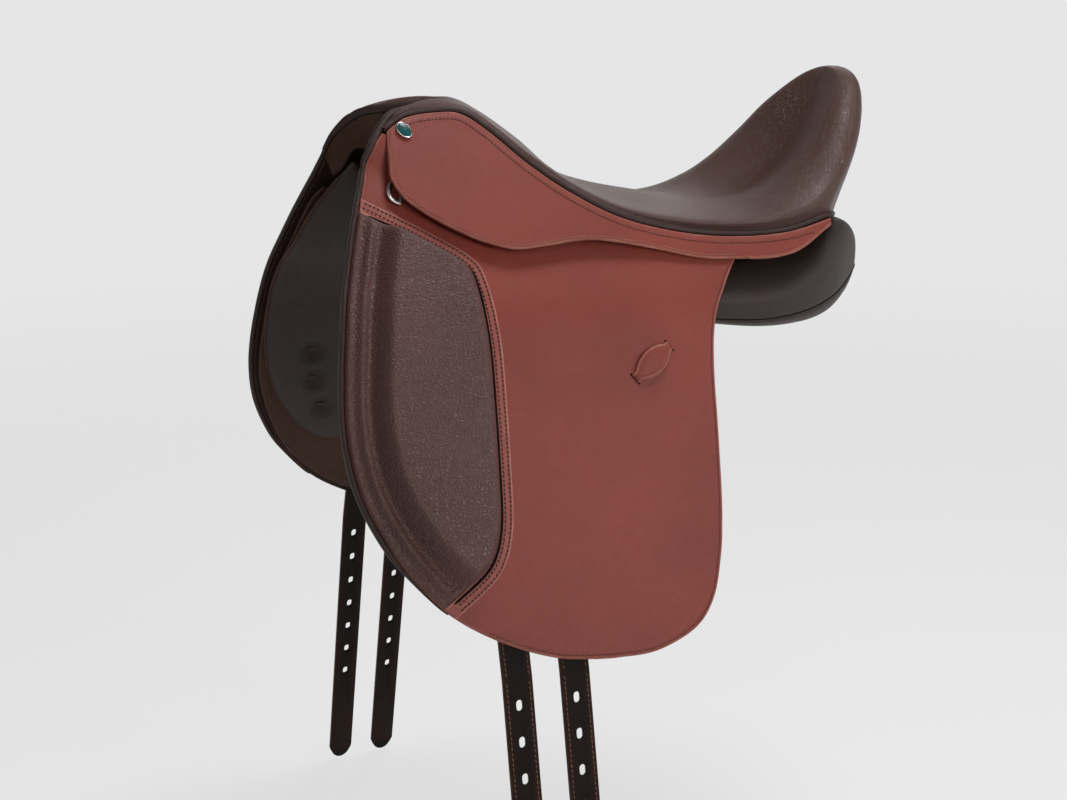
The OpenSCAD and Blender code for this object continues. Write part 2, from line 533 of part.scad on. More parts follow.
// Girth strap above its bend
strap_line = [44 - gap, 30, 20, 10, 0, -10, -20, -30, -120, -200, strap_v + strap_t / 2 + gap / 2];
module billet(x) color(strap_brown)
    sheet([for (v = strap_line) [[x - strap_w / 2, v], [x + strap_w / 2, v]]], strap_n, strap_t);

// Free end of a girth strap, with oblong holes and a rounded point
module tail_shape() {
    difference() {
        union() {
            translate([-strap_w / 2, -tail_l + 16]) square([strap_w, tail_l - 16]);
            translate([0, -tail_l + 16]) intersection() {
                translate([-strap_w / 2, -16]) square([strap_w, 16.1]);
                translate([0, 6]) circle(r = 22);
            }
        }
        for (k = [0 : holes - 1]) translate([0, -first_hole - k * hole_pitch]) {
            translate([0, (hole_l - hole_w) / 2]) circle(d = hole_w);
            translate([0, -(hole_l - hole_w) / 2]) circle(d = hole_w);
            translate([-hole_w / 2, -(hole_l - hole_w) / 2]) square([hole_w, hole_l - hole_w]);
        }
    }
}
module billet_tail(x) color(strap_brown)
    translate(side_at(x, strap_v, axis_half_n)) rotate([90 - tail_a, 0, 0]) {
        translate([0, 0, -strap_t / 2]) linear_extrude(height = strap_t) tail_shape();
        translate([-strap_w / 2, 0, 0]) rotate([0, 90, 0]) cylinder(h = strap_w, r = strap_t / 2);
    }

tree_frame();
head_plate();
head_rivets();
tree_spring();  // tree_spring_left
mirror([0, 1, 0]) tree_spring();  // tree_spring_right
seat_webbing();
seat_foam();
seat_cover();
pommel_roll();
head_lining();
seat_welt();  // seat_welt_left
mirror([0, 1, 0]) seat_welt();  // seat_welt_right
left() stirrup_bar();  // stirrup_bar_left
right() stirrup_bar();  // stirrup_bar_right
left() bar_rivets();  // bar_rivets_left
right() bar_rivets();  // bar_rivets_right
left() stirrup_catch();  // stirrup_catch_left
right() stirrup_catch();  // stirrup_catch_right
left() skirt();  // skirt_left
right() skirt();  // skirt_right
left() skirt_lobe();  // skirt_lobe_left
right() skirt_lobe();  // skirt_lobe_right
left() saddle_stud();  // saddle_stud_left
right() saddle_stud();  // saddle_stud_right
left() flap_top();  // flap_top_left
right() flap_top();  // flap_top_right
left() flap();  // flap_left
right() flap();  // flap_right
left() knee_block();  // knee_block_left
right() knee_block();  // knee_block_right
left() flap_welt();  // flap_welt_left
right() flap_welt();  // flap_welt_right
left() keeper();  // keeper_left
right() keeper();  // keeper_right
left() dee_chape();  // dee_chape_left
right() dee_chape();  // dee_chape_right
left() dee_ring();  // dee_ring_left
right() dee_ring();  // dee_ring_right
left() sweat_flap();  // sweat_flap_left
right() sweat_flap();  // sweat_flap_right
left() front_panel();  // front_panel_left
right() front_panel();  // front_panel_right
rear_panel();  // rear_panel_left
mirror([0, 1, 0]) rear_panel();  // rear_panel_right
gullet_strip();
left() point_pocket();  // point_pocket_left
right() point_pocket();  // point_pocket_right
left() girth_web();  // girth_web_left
right() girth_web();  // girth_web_right
left() billet(strap_front_x);  // billet_front_left
right() billet(strap_front_x);  // billet_front_right
left() billet(strap_rear_x);  // billet_rear_left
right() billet(strap_rear_x);  // billet_rear_right
left() billet_tail(strap_front_x);  // billet_tail_front_left
right() billet_tail(strap_front_x);  // billet_tail_front_right
left() billet_tail(strap_rear_x);  // billet_tail_rear_left
right() billet_tail(strap_rear_x);  // billet_tail_rear_right
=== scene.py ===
import math

import bmesh
import bpy
import numpy as np
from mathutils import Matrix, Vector


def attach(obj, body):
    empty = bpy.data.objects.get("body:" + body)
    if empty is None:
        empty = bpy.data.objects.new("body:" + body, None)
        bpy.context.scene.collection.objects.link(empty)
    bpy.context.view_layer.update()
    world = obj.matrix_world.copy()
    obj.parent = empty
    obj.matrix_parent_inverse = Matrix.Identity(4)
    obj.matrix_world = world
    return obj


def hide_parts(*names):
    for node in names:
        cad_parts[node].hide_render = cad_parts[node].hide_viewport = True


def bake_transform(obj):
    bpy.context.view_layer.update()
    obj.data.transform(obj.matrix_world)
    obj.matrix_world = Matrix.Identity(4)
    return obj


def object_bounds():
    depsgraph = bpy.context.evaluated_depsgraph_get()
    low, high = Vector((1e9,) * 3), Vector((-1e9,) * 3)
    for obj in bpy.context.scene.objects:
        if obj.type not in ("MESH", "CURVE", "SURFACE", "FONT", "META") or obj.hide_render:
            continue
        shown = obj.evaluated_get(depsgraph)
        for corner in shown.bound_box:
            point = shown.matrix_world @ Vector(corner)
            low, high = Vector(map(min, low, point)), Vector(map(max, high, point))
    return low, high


# Looks of a dressage saddle: leather, padding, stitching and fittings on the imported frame
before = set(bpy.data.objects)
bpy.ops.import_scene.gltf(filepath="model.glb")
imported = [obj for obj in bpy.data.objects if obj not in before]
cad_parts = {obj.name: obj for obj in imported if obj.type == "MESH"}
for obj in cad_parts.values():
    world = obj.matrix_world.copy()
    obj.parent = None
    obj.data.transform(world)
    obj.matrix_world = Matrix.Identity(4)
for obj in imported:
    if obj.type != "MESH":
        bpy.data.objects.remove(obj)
cad_low, cad_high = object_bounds()

# Pattern sizes are in millimetres and degrees, as in the part's source
MM = 0.001
KNUCKLE_W = 132
KNUCKLE_Z = -2
UPPER_A = math.radians(32.6)
LOWER_A = math.radians(19.4)
BEND = 22
TOE = math.radians(2.6)
FOLD_X = -283
FOLD_V = 129
FOLD_A = math.radians(16)
GAP = 0.6
FLAP_T = 4
SKIRT_T = 3.5
SWEAT_T = 3
STRAP_T = 4
COVER_T = 2.4
STAND_OFF = 8
SKIRT_DROP = (-110, 20)
PIPING_R = 2.2
KNEE_H = 17
FORE_H = 16
FOAM_H = 15
CHANNEL = 33
STRAP_N = -GAP - STRAP_T
SWEAT_N = STRAP_N - GAP - SWEAT_T
PANEL_N = SWEAT_N - GAP
LOBE_N = FLAP_T + STAND_OFF

# The left side is built, and the right side is its mirror image
SIDES = {"left": 1, "right": -1}
MIRROR = (1, -1, 1)


# Curves and the side form


def ease(t, start=0, end=1):
    """A smooth rise from 0 at the start to 1 at the end."""
    c = np.clip((t - start) / (end - start), 0, 1)
    return c * c * (3 - 2 * c)


def hump(d, rise, at, width):
    """A rounded ridge of that rise and width at a distance."""
    return rise * np.exp(-(((d - at) / width) ** 2))


def rounded(d, radius):
    """A quarter round: 0 at the edge, 1 from the radius inwards."""
    return np.sqrt(1 - (1 - np.clip(d / radius, 0, 1)) ** 2)


def unit(v):
    return v / np.linalg.norm(v, axis=-1, keepdims=True)


def spline(a, b, c, d, t):
    return 0.5 * (2 * b + (c - a) * t + (2 * a - 5 * b + 4 * c - d) * t**2 + (3 * b - a - 3 * c + d) * t**3)


def curve(points, steps):
    """A smooth line through the points, with that many steps between two of them."""
    p = np.asarray(points, float)
    p = np.vstack([2 * p[0] - p[1], p, 2 * p[-1] - p[-2]])
    t = np.arange(steps)[:, None] / steps
    spans = [spline(p[i], p[i + 1], p[i + 2], p[i + 3], t) for i in range(len(p) - 3)]
    return np.vstack(spans + [p[-2:-1]])


def to_centre(points, steps):
    """A curve that ends on the centre line, square to it, so that both halves meet smoothly."""
    p = np.asarray(points, float)
    return curve(np.vstack([p, p[-2] * MIRROR]), steps)[:-steps]


def toed(p):
    """The left side turned out towards the rear."""
    d = p[..., 0] - FOLD_X
    x = FOLD_X + d * math.cos(TOE) + p[..., 1] * math.sin(TOE)
    y = p[..., 1] * math.cos(TOE) - d * math.sin(TOE)
    return np.stack([x, y, p[..., 2]], -1)


def on_side(q, n):
    """Points of the left side for pattern points q (x, v), at n outwards."""
    q = np.asarray(q, float)
    v = q[..., 1]
    low_s, low_c = math.sin(LOWER_A), math.cos(LOWER_A)
    more_s, more_c = math.sin(UPPER_A) - low_s, math.cos(UPPER_A) - low_c
    share = np.clip((v + BEND) / (2 * BEND), 0, 1)
    lean = np.arctan2(low_s + more_s * share, low_c + more_c * share)
    over = np.where(v < -BEND, 0, np.where(v > BEND, v, (v + BEND) ** 2 / (4 * BEND)))
    width = KNUCKLE_W - low_s * v - more_s * over + n * np.cos(lean)
    height = KNUCKLE_Z + low_c * v + more_c * over + n * np.sin(lean)
    return toed(np.stack([q[..., 0] + 0 * width, -width, height], -1))


def fold_at(x):
    return FOLD_V - (x - FOLD_X) * math.tan(FOLD_A)


def skirt_n(x):
    """Height of the skirt, which stands off the flap in front and lies on it behind."""
    return FLAP_T + GAP + (STAND_OFF - GAP) * (1 - ease(x, *SKIRT_DROP))


def shifted(line, d):
    """A pattern line moved sideways by d, to the left of its direction."""
    t = unit(np.gradient(np.asarray(line, float), axis=0))
    return line + np.stack([-t[:, 1], t[:, 0]], 1) * np.reshape(d, (-1, 1))


def turned(points, angle):
    """Pattern points turned by an angle, from x towards v."""
    c, s = math.cos(angle), math.sin(angle)
    return np.asarray(points, float) @ np.array([[c, s], [-s, c]])


def arc_length(line):
    return np.concatenate([[0], np.cumsum(np.linalg.norm(np.diff(line, axis=0), axis=1))])


def read_at(at, arc, table):
    """The table's columns at places along the arc."""
    return np.stack([np.interp(at, arc, column) for column in table.T], -1)


def resampled(line, count):
    """The same line with that many points, evenly spaced."""
    arc = arc_length(line)
    return read_at(np.linspace(0, arc[-1], count), arc, line)


def with_mirror(half):
    """Left-hand lines that end on the centre line, run on into their mirror images."""
    return np.concatenate([half, half[..., -2::-1, :] * MIRROR], -2)


def in_frame(points, side):
    """Points of the left side in metres, mirrored for the right side."""
    return points * (MM, side * MM, MM)


def under_fold(line, d=0):
    return np.stack([line[:, 0], np.minimum(line[:, 1], fold_at(line[:, 0]) - d)], 1)


def over_fold(line):
    return np.stack([line[:, 0], np.maximum(line[:, 1], fold_at(line[:, 0]))], 1)


def distance(points, lines):
    """Distance in the pattern from each point to the nearest of the lines."""
    flat = points.reshape(-1, 1, 2)
    best = np.full(len(flat), 1e9)
    for line in lines:
        start = line[:-1]
        way = line[1:] - start
        t = np.sum((flat - start) * way, -1) / np.maximum(np.sum(way * way, -1), 1e-9)
        near = start + np.clip(t, 0, 1)[..., None] * way
        best = np.minimum(best, np.linalg.norm(flat - near, axis=-1).min(1))
    return best.reshape(points.shape[:-1])


# Meshes
WELD = 2e-6
SHARP = math.radians(55)
TUBE_UP = (0.3, 0.2, 1.0)
TUBE_END = 0.55


def show(name, data):
    obj = bpy.data.objects.new(name, data)
    bpy.context.scene.collection.objects.link(obj)
    return obj


def piece(name, points, faces, look, wear=None, side=1, back=None, backs=()):
    """A mesh from points in millimetres; the faces numbered in backs get the back's material."""
    points = in_frame(np.reshape(points, (-1, 3)), side)
    mesh = bpy.data.meshes.new(name)
    mesh.from_pydata(points.tolist(), [], faces)
    for number in backs:
        mesh.polygons[number].material_index = 1
    if wear is not None:
        layer = mesh.attributes.new("wear", "FLOAT", "POINT")
        layer.data.foreach_set("value", np.ravel(wear).astype(np.float32))
    work = bmesh.new()
    work.from_mesh(mesh)
    bmesh.ops.remove_doubles(work, verts=work.verts, dist=WELD)
    bmesh.ops.recalc_face_normals(work, faces=work.faces)
    work.to_mesh(mesh)
    work.free()
    mesh.shade_smooth()
    mesh.set_sharp_from_angle(angle=SHARP)
    mesh.materials.append(look)
    if back:
        mesh.materials.append(back)
    obj = show(name, mesh)
    return obj


def grid_faces(rows, cols, start=0, loop=False):
    r = np.arange(rows - 1)[:, None] * cols
    c = np.arange(cols if loop else cols - 1)[None, :]
    after = (c + 1) % cols
    quads = np.stack([r + c, r + after, r + cols + after, r + cols + c], -1)
    return (quads.reshape(-1, 4) + start).tolist()


def slab(name, top, low, look, wear=None, side=1, back=None):
    """A closed skin over two grids of points that share an outline."""
    rows, cols = top.shape[:2]
    count = rows * cols
    faces = grid_faces(rows, cols) + [f[::-1] for f in grid_faces(rows, cols, count)]
    rim = list(range(cols)) + [r * cols + cols - 1 for r in range(1, rows)]
    rim += [(rows - 1) * cols + c for c in range(cols - 2, -1, -1)]
    rim += [r * cols for r in range(rows - 2, 0, -1)]
    faces += [[b, a, a + count, b + count] for a, b in zip(rim, rim[1:] + rim[:1])]
    both = None if wear is None else np.stack([wear, wear])
    points = np.concatenate([top.reshape(-1, 3), low.reshape(-1, 3)])
    quads = (rows - 1) * (cols - 1)
    return piece(name, points, faces, look, both, side, back, range(quads, 2 * quads) if back else ())


def loft(name, rings, look, side=1):
    """A closed skin through rings of points, with flat ends."""
    rows, cols = rings.shape[:2]
    faces = grid_faces(rows, cols, loop=True)
    faces += [list(range(cols)), list(range((rows - 1) * cols, rows * cols))]
    return piece(name, rings, faces, look, None, side)


def ring_round(across, up, sides):
    q = np.arange(sides) * 2 * math.pi / sides
    return across[:, None] * np.cos(q)[:, None] + up[:, None] * np.sin(q)[:, None]


def tube(name, path, radius, look, side=1, sides=12):
    """A round cord along a path, with domed ends."""
    ends = np.ones(len(path))
    ends[[0, -1]] = TUBE_END
    way = unit(np.gradient(path, axis=0))
    across = unit(np.cross(way, TUBE_UP))
    ring = ring_round(across, np.cross(across, way), sides)
    rings = path[:, None] + ring * np.reshape(radius * ends, (-1, 1, 1))
    return loft(name, rings, look, side)


# Distances from a cut edge at which a sheet has a row of points
NEAR = np.array([0, 0.25, 0.7, 1.3, 2.0, 2.5, 3.0, 3.6, 5.0])
WEAR_W = 2.4
# Crease beside a cut edge: depth, distance in and width
CREASE = (0.35, 2.5, 0.5)
EDGE_ROW = 3.0


def ruled(a, b, cols):
    """Pattern points between two edges, close together next to each edge."""
    length = np.linalg.norm(b - a, axis=1)[:, None]
    near = NEAR * np.minimum(1, length / (4 * NEAR[-1]))
    inner = near[:, -1:] + (length - 2 * near[:, -1:]) * np.linspace(0, 1, cols + 2)[1:-1]
    share = np.hstack([near, inner, length - near[:, ::-1]]) / np.maximum(length, 1e-6)
    return a[:, None] + (b - a)[:, None] * share[..., None]


def leather(name, a, b, base, thick, free, side, look, cols=24, back=None):
    """A sheet of leather with round, creased edges along its free lines."""
    q = ruled(a, b, cols)
    d = distance(q, free)
    level = base(q) if callable(base) else base
    half = thick / 2 * rounded(d, thick / 2)
    top = on_side(q, level + thick / 2 + half - hump(d, *CREASE))
    low = on_side(q, level + thick / 2 - half)
    return slab(name, top, low, look, np.clip(1 - d / WEAR_W, 0, 1), side, back)


# One stitch: places along it, and its thickness and depth there as shares of its radius
STITCH_AT = np.array([-1.0, -0.8, 0.0, 0.8, 1.0])
STITCH_THICK = np.array([0.4, 0.85, 1.0, 0.85, 0.4])
STITCH_UP = 0.55 - 1.6 * np.array([0.4, 0.12, 0.0, 0.12, 0.4])
STITCH_SLANT = 0.16
STITCH_SIDES = 6


def sew(name, path, out, look, side=1, pitch=3.3, length=2.5, radius=0.42):
    """A row of stitches along a path; out is the surface's direction at each point."""
    arc = arc_length(path)
    centre = np.arange(pitch / 2, arc[-1], pitch)
    way = unit(read_at(centre + 0.5, arc, path) - read_at(centre - 0.5, arc, path))
    up = unit(read_at(centre, arc, out))
    across = np.cross(up, way)
    way = way + across * STITCH_SLANT
    middle = read_at(centre, arc, path)[:, None] + way[:, None] * (STITCH_AT * length / 2)[:, None]
    middle = middle + up[:, None] * (STITCH_UP * radius)[:, None]
    ring = ring_round(across, up, STITCH_SIDES)
    points = middle[:, :, None] + ring[:, None] * (radius * STITCH_THICK)[:, None, None]
    rows = len(STITCH_AT)
    count = rows * STITCH_SIDES
    faces = []
    for first in range(0, len(centre) * count, count):
        faces += grid_faces(rows, STITCH_SIDES, first, loop=True)
        ends = (first, first + count - STITCH_SIDES)
        faces += [list(range(end, end + STITCH_SIDES)) for end in ends]
    return piece(name, points, faces, look, None, side)


def sew_side(name, line, level, look, side, **sizes):
    """Stitches along a pattern line of the side, on a surface at that level."""
    line = np.asarray(line, float)
    path = on_side(line, level)
    return sew(name, path, on_side(line, level + 1) - path, look, side, **sizes)


# Shader nodes


def feed(tree, node, values):
    """Sets or links the inputs of a node."""
    for socket, value in dict(values).items():
        if isinstance(value, bpy.types.NodeSocket):
            tree.links.new(value, node.inputs[socket])
        else:
            node.inputs[socket].default_value = value


def add(tree, kind, values=(), **settings):
    """A shader node with its settings and the values or links of its inputs."""
    made = tree.nodes.new("ShaderNode" + kind)
    for key, value in settings.items():
        setattr(made, key, value)
    feed(tree, made, values)
    return made


def place_in(tree):
    return add(tree, "TexCoord").outputs["Object"]


def noise(tree, scale, detail, values=(), place=None):
    place = place_in(tree) if place is None else place
    return add(tree, "TexNoise", {"Vector": place, "Scale": scale, "Detail": detail, **dict(values)})


def wave(tree, scale, distortion, direction):
    values = {"Vector": place_in(tree), "Scale": scale, "Distortion": distortion}
    return add(tree, "TexWave", values, bands_direction=direction).outputs["Fac"]


def ranged(tree, value, low, high, to_low=0.0, to_high=1.0, **settings):
    """A value carried from one range into another."""
    sizes = {"Value": value, "From Min": low, "From Max": high, "To Min": to_low, "To Max": to_high}
    return add(tree, "MapRange", sizes, **settings).outputs[0]


def maths(tree, operation, *values, **settings):
    return add(tree, "Math", enumerate(values), operation=operation, **settings).outputs[0]


def mixed(tree, factor, a, b):
    return add(tree, "Mix", {"Factor": factor, "A": a, "B": b}, data_type="RGBA").outputs["Result"]


def bumped(tree, height, depth):
    return add(tree, "Bump", {"Distance": depth, "Height": height}).outputs[0]


# Shader node groups


def new_group(name, inputs, outputs):
    tree = bpy.data.node_groups.new(name, "ShaderNodeTree")
    for label, kind, value in inputs:
        tree.interface.new_socket(name=label, in_out="INPUT", socket_type=kind).default_value = value
    for label, kind in outputs:
        tree.interface.new_socket(name=label, in_out="OUTPUT", socket_type=kind)
    return tree, tree.nodes.new("NodeGroupInput").outputs, tree.nodes.new("NodeGroupOutput")


def grain_group():
    """Pebbled hide: creases between small cells, with finer pores on them."""
    tree, given, put = new_group(
        "Hide grain",
        [("Scale", "NodeSocketFloat", 700.0), ("Depth", "NodeSocketFloat", 0.0002)],
        [("Height", "NodeSocketFloat"), ("Normal", "NodeSocketVector")],
    )
    wander = noise(tree, 160.0, 2.0).outputs["Color"]
    centred = add(tree, "VectorMath", {0: wander, 1: (0.5, 0.5, 0.5)}, operation="SUBTRACT").outputs[0]
    small = add(tree, "VectorMath", {0: centred, "Scale": 0.004}, operation="SCALE").outputs[0]
    moved = add(tree, "VectorMath", {0: place_in(tree), 1: small}, operation="ADD").outputs[0]
    cells = add(tree, "TexVoronoi", {"Vector": moved, "Scale": given["Scale"]}, feature="DISTANCE_TO_EDGE")
    plump = ranged(tree, cells.outputs["Distance"], 0.0, 0.3, interpolation_type="SMOOTHSTEP")
    pores = noise(tree, maths(tree, "MULTIPLY", given["Scale"], 2.6), 3.0).outputs["Fac"]
    height = maths(tree, "MULTIPLY_ADD", pores, 0.15, plump)
    feed(tree, put, {"Height": height, "Normal": bumped(tree, height, given["Depth"])})
    return tree


def drift_group():
    """Dye that varies in soft patches and in finer specks."""
    tree, given, put = new_group(
        "Dye drift",
        [("Base", "NodeSocketColor", (1, 1, 1, 1)), ("Deep", "NodeSocketColor", (0, 0, 0, 1)),
         ("Scale", "NodeSocketFloat", 9.0)],
        [("Colour", "NodeSocketColor")],
    )
    patch = noise(tree, given["Scale"], 5.0, {"Roughness": 0.6}).outputs["Fac"]
    speck = noise(tree, 420.0, 2.0).outputs["Fac"]
    shade = ranged(tree, speck, 0.3, 0.7, -0.14, 0.14)
    total = maths(tree, "ADD", ranged(tree, patch, 0.32, 0.72), shade, use_clamp=True)
    feed(tree, put, {"Colour": mixed(tree, total, given["Base"], given["Deep"])})
    return tree


def wear_group():
    """Lighter leather along cut edges, where hands and straps rub."""
    tree, given, put = new_group(
        "Edge wear",
        [("Colour", "NodeSocketColor", (1, 1, 1, 1)), ("Worn", "NodeSocketColor", (1, 1, 1, 1))],
        [("Colour", "NodeSocketColor")],
    )
    edge = add(tree, "Attribute", attribute_name="wear").outputs["Fac"]
    rub = ranged(tree, noise(tree, 70.0, 4.0).outputs["Fac"], 0.3, 0.7, 0.35, 1.0)
    share = maths(tree, "MULTIPLY", edge, rub, use_clamp=True)
    feed(tree, put, {"Colour": mixed(tree, share, given["Colour"], given["Worn"])})
    return tree


GRAIN = grain_group()
DRIFT = drift_group()
WEAR = wear_group()


# Materials


def new_look(name, slot, base, deep, patch):
    """A material, its tree, its shader and the colour of its drifting dye."""
    look = bpy.data.materials.new(name)
    look.use_nodes = True
    look["slot"] = slot
    tree = look.node_tree
    colours = {"Base": (*base, 1), "Deep": (*deep, 1), "Scale": patch}
    dye = add(tree, "Group", colours, node_tree=DRIFT).outputs["Colour"]
    return look, tree, tree.nodes["Principled BSDF"], dye


def hide_look(name, slot, base, deep, worn, scale, depth, rough, gloss, patch=9.0):
    """Leather: dye drift, worn edges, grain, and a roughness that follows the grain."""
    look, tree, shader, dye = new_look(name, slot, base, deep, patch)
    edge = add(tree, "Group", {"Colour": dye, "Worn": (*worn, 1)}, node_tree=WEAR).outputs["Colour"]
    grain = add(tree, "Group", {"Scale": scale, "Depth": depth}, node_tree=GRAIN).outputs
    matt = ranged(tree, grain["Height"], 0.0, 1.3, rough + 0.14, rough - 0.03)
    feed(tree, shader, {"Base Color": edge, "Roughness": matt, "Normal": grain["Normal"],
                        "Specular IOR Level": gloss})
    return look


def thread_look(name, slot, base, deep):
    """Waxed thread with a twist."""
    look, tree, shader, dye = new_look(name, slot, base, deep, 60.0)
    twist = bumped(tree, wave(tree, 900.0, 2.0, "DIAGONAL"), 0.0001)
    feed(tree, shader, {"Base Color": dye, "Normal": twist, "Roughness": 0.6})
    return look


def steel_look():
    """Stainless steel with fine brush marks and a few dull patches."""
    look, tree, shader, dye = new_look("steel", "steel", (0.78, 0.78, 0.79), (0.62, 0.62, 0.63), 40.0)
    drawn = add(tree, "Mapping", {"Vector": place_in(tree), "Scale": (1.0, 1.0, 14.0)}).outputs[0]
    brush = noise(tree, 260.0, 4.0, place=drawn).outputs["Fac"]
    dull = ranged(tree, brush, 0.0, 1.0, 0.14, 0.36)
    feed(tree, shader, {"Base Color": dye, "Roughness": dull, "Normal": bumped(tree, brush, 0.00003),
                        "Metallic": 1.0})
    return look


def enamel_look():
    """Teal enamel, darker in depth, under a clear gloss."""
    look, tree, shader, dye = new_look("enamel", "enamel", (0.010, 0.095, 0.09), (0.003, 0.03, 0.032), 260.0)
    feed(tree, shader, {"Base Color": dye, "Roughness": 0.3, "Specular IOR Level": 0.2,
                        "Coat Weight": 0.15, "Coat Roughness": 0.05})
    return look


def web_look():
    """Webbing: two crossing waves for the weave."""
    look, tree, shader, dye = new_look("webbing", "webbing", (0.62, 0.57, 0.46), (0.46, 0.41, 0.31), 30.0)
    weave = maths(tree, "MULTIPLY", wave(tree, 260.0, 0.6, "X"), wave(tree, 220.0, 0.6, "Z"))
    feed(tree, shader, {"Base Color": dye, "Normal": bumped(tree, weave, 0.0006), "Roughness": 0.85,
                        "Sheen Weight": 0.3})
    return look


def foam_look():
    """Open foam: pores of mixed size."""
    look, tree, shader, dye = new_look("foam", "foam", (0.72, 0.62, 0.38), (0.55, 0.45, 0.25), 25.0)
    grain = add(tree, "Group", {"Scale": 500.0, "Depth": 0.0008}, node_tree=GRAIN)
    feed(tree, shader, {"Base Color": dye, "Normal": grain.outputs["Normal"], "Roughness": 0.95})
    return look


def tree_look():
    """Moulded fibre-filled tree: short flecks in a dark grey ground."""
    look, tree, shader, dye = new_look("tree", "tree", (0.09, 0.085, 0.08), (0.045, 0.042, 0.04), 90.0)
    fleck = noise(tree, 300.0, 3.0, {"Distortion": 1.5}).outputs["Fac"]
    feed(tree, shader, {"Base Color": dye, "Normal": bumped(tree, fleck, 0.0002), "Roughness": 0.55})
    return look


FLAP_LOOK = hide_look("flap leather", "flap_leather", (0.198, 0.031, 0.019), (0.150, 0.023, 0.014),
                      (0.36, 0.14, 0.10), 1500.0, 0.00006, 0.38, 0.3, 7.0)
BAND_LOOK = hide_look("band leather", "flap_leather", (0.250, 0.060, 0.044), (0.200, 0.046, 0.033),
                      (0.40, 0.17, 0.13), 1500.0, 0.00006, 0.38, 0.3)
BACK_LOOK = hide_look("flap back", "flap_leather", (0.036, 0.016, 0.011), (0.024, 0.011, 0.008),
                      (0.10, 0.045, 0.03), 1100.0, 0.00012, 0.5, 0.15)
SEAT_LOOK = hide_look("seat leather", "seat_leather", (0.062, 0.022, 0.015), (0.045, 0.016, 0.011),
                      (0.09, 0.04, 0.03), 900.0, 0.0002, 0.32, 0.45)
BLOCK_LOOK = hide_look("block leather", "block_leather", (0.090, 0.041, 0.036), (0.064, 0.030, 0.026),
                       (0.13, 0.06, 0.046), 310.0, 0.0004, 0.42, 0.28)
PANEL_LOOK = hide_look("panel leather", "panel_leather", (0.034, 0.019, 0.015), (0.024, 0.0135, 0.011),
                       (0.05, 0.03, 0.026), 900.0, 0.0002, 0.42, 0.34)
LINING_LOOK = hide_look("lining leather", "panel_leather", (0.078, 0.037, 0.025), (0.055, 0.026, 0.018),
                        (0.08, 0.04, 0.028), 1000.0, 0.00015, 0.45, 0.15)
EDGE_LOOK = hide_look("edge leather", "block_leather", (0.034, 0.015, 0.012), (0.022, 0.010, 0.008),
                      (0.06, 0.03, 0.025), 1200.0, 0.0001, 0.36, 0.25)
# Near-black leather: painted shade in the knee block's crease and the keeper's slits, and the dark gusset
# seams on the rear panels
SHADE_AND_SEAM_LOOK = hide_look("painted shade and seam leather", "block_leather", (0.008, 0.004, 0.0035), (0.005, 0.003, 0.0025),
                        (0.02, 0.01, 0.008), 1200.0, 0.0001, 0.6, 0.05)
STRAP_LOOK = hide_look("strap leather", "strap_leather", (0.010, 0.005, 0.004), (0.006, 0.003, 0.0026),
                       (0.075, 0.030, 0.016), 1300.0, 0.0001, 0.45, 0.10)
FLAP_THREAD = thread_look("flap thread", "flap_leather", (0.024, 0.008, 0.006), (0.016, 0.006, 0.005))
PALE_THREAD = thread_look("pale thread", "flap_leather", (0.40, 0.18, 0.13), (0.30, 0.12, 0.09))
DARK_THREAD = thread_look("dark thread", "block_leather", (0.13, 0.06, 0.045), (0.085, 0.04, 0.03))
STRAP_THREAD = thread_look("strap thread", "strap_leather", (0.20, 0.075, 0.035), (0.13, 0.05, 0.024))
STEEL_LOOK = steel_look()
ENAMEL_LOOK = enamel_look()
WEB_LOOK = web_look()
FOAM_LOOK = foam_look()
TREE_LOOK = tree_look()


# Seat: guide curves from pommel to cantle, and the ribs across them
SKIRT_SEAM = np.array([[-257, 163], [-239, 175], [-212, 179], [-191, 177], [-170, 160], [-139, 127],
                       [-106, 99], [-66, 76], [-13, 62], [42, 56], [91, 58], [134, 69]], float)
SEAM_BACK = [[140, -100, 60], [159, -76, 58], [174, -42, 56], [180, -0.02, 55]]
SEAT_SIDE = [[-253, -47, 152], [-232, -42, 161], [-205, -42, 163.5], [-185, -45, 160], [-166, -56, 146],
             [-136, -76, 119], [-104, -90, 96], [-64, -104, 77], [-10, -113, 65.5], [46, -118, 62.5],
             [90, -118, 69], [124, -114, 82], [152, -103, 104], [182, -79, 135], [204, -43, 162],
             [211, -0.02, 170]]
SEAT_RIM = [[-238, -28, 159], [-216, -22, 165], [-192, -22, 165], [-174, -25, 158], [-158, -33, 146],
            [-131, -46, 123], [-100, -56, 99], [-60, -66, 81], [-6, -72, 71], [45, -69, 68], [86, -72, 81],
            [116, -71, 100], [143, -67, 125], [164, -57, 151], [187, -33, 177], [194, -0.02, 186]]
SEAT_MID = [[-193, 0, 165], [-186, 0, 166], [-174, 0, 162], [-160, 0, 154], [-146, 0, 145], [-122, 0, 127],
            [-96, 0, 103], [-58, 0, 89], [-5, 0, 78], [44, 0, 70], [86, 0, 70], [117, 0, 82], [143, 0, 104],
            [164, 0, 131], [180, 0, 158], [188, 0, 175]]
SEAT_STEPS = 6
RIB_STEPS = 9


def off_seam(d):
    """The skirt's seam moved up by d, at the middle of the skirt's thickness."""
    return on_side(shifted(SKIRT_SEAM, d), skirt_n(SKIRT_SEAM[:, 0]) + SKIRT_T / 2)


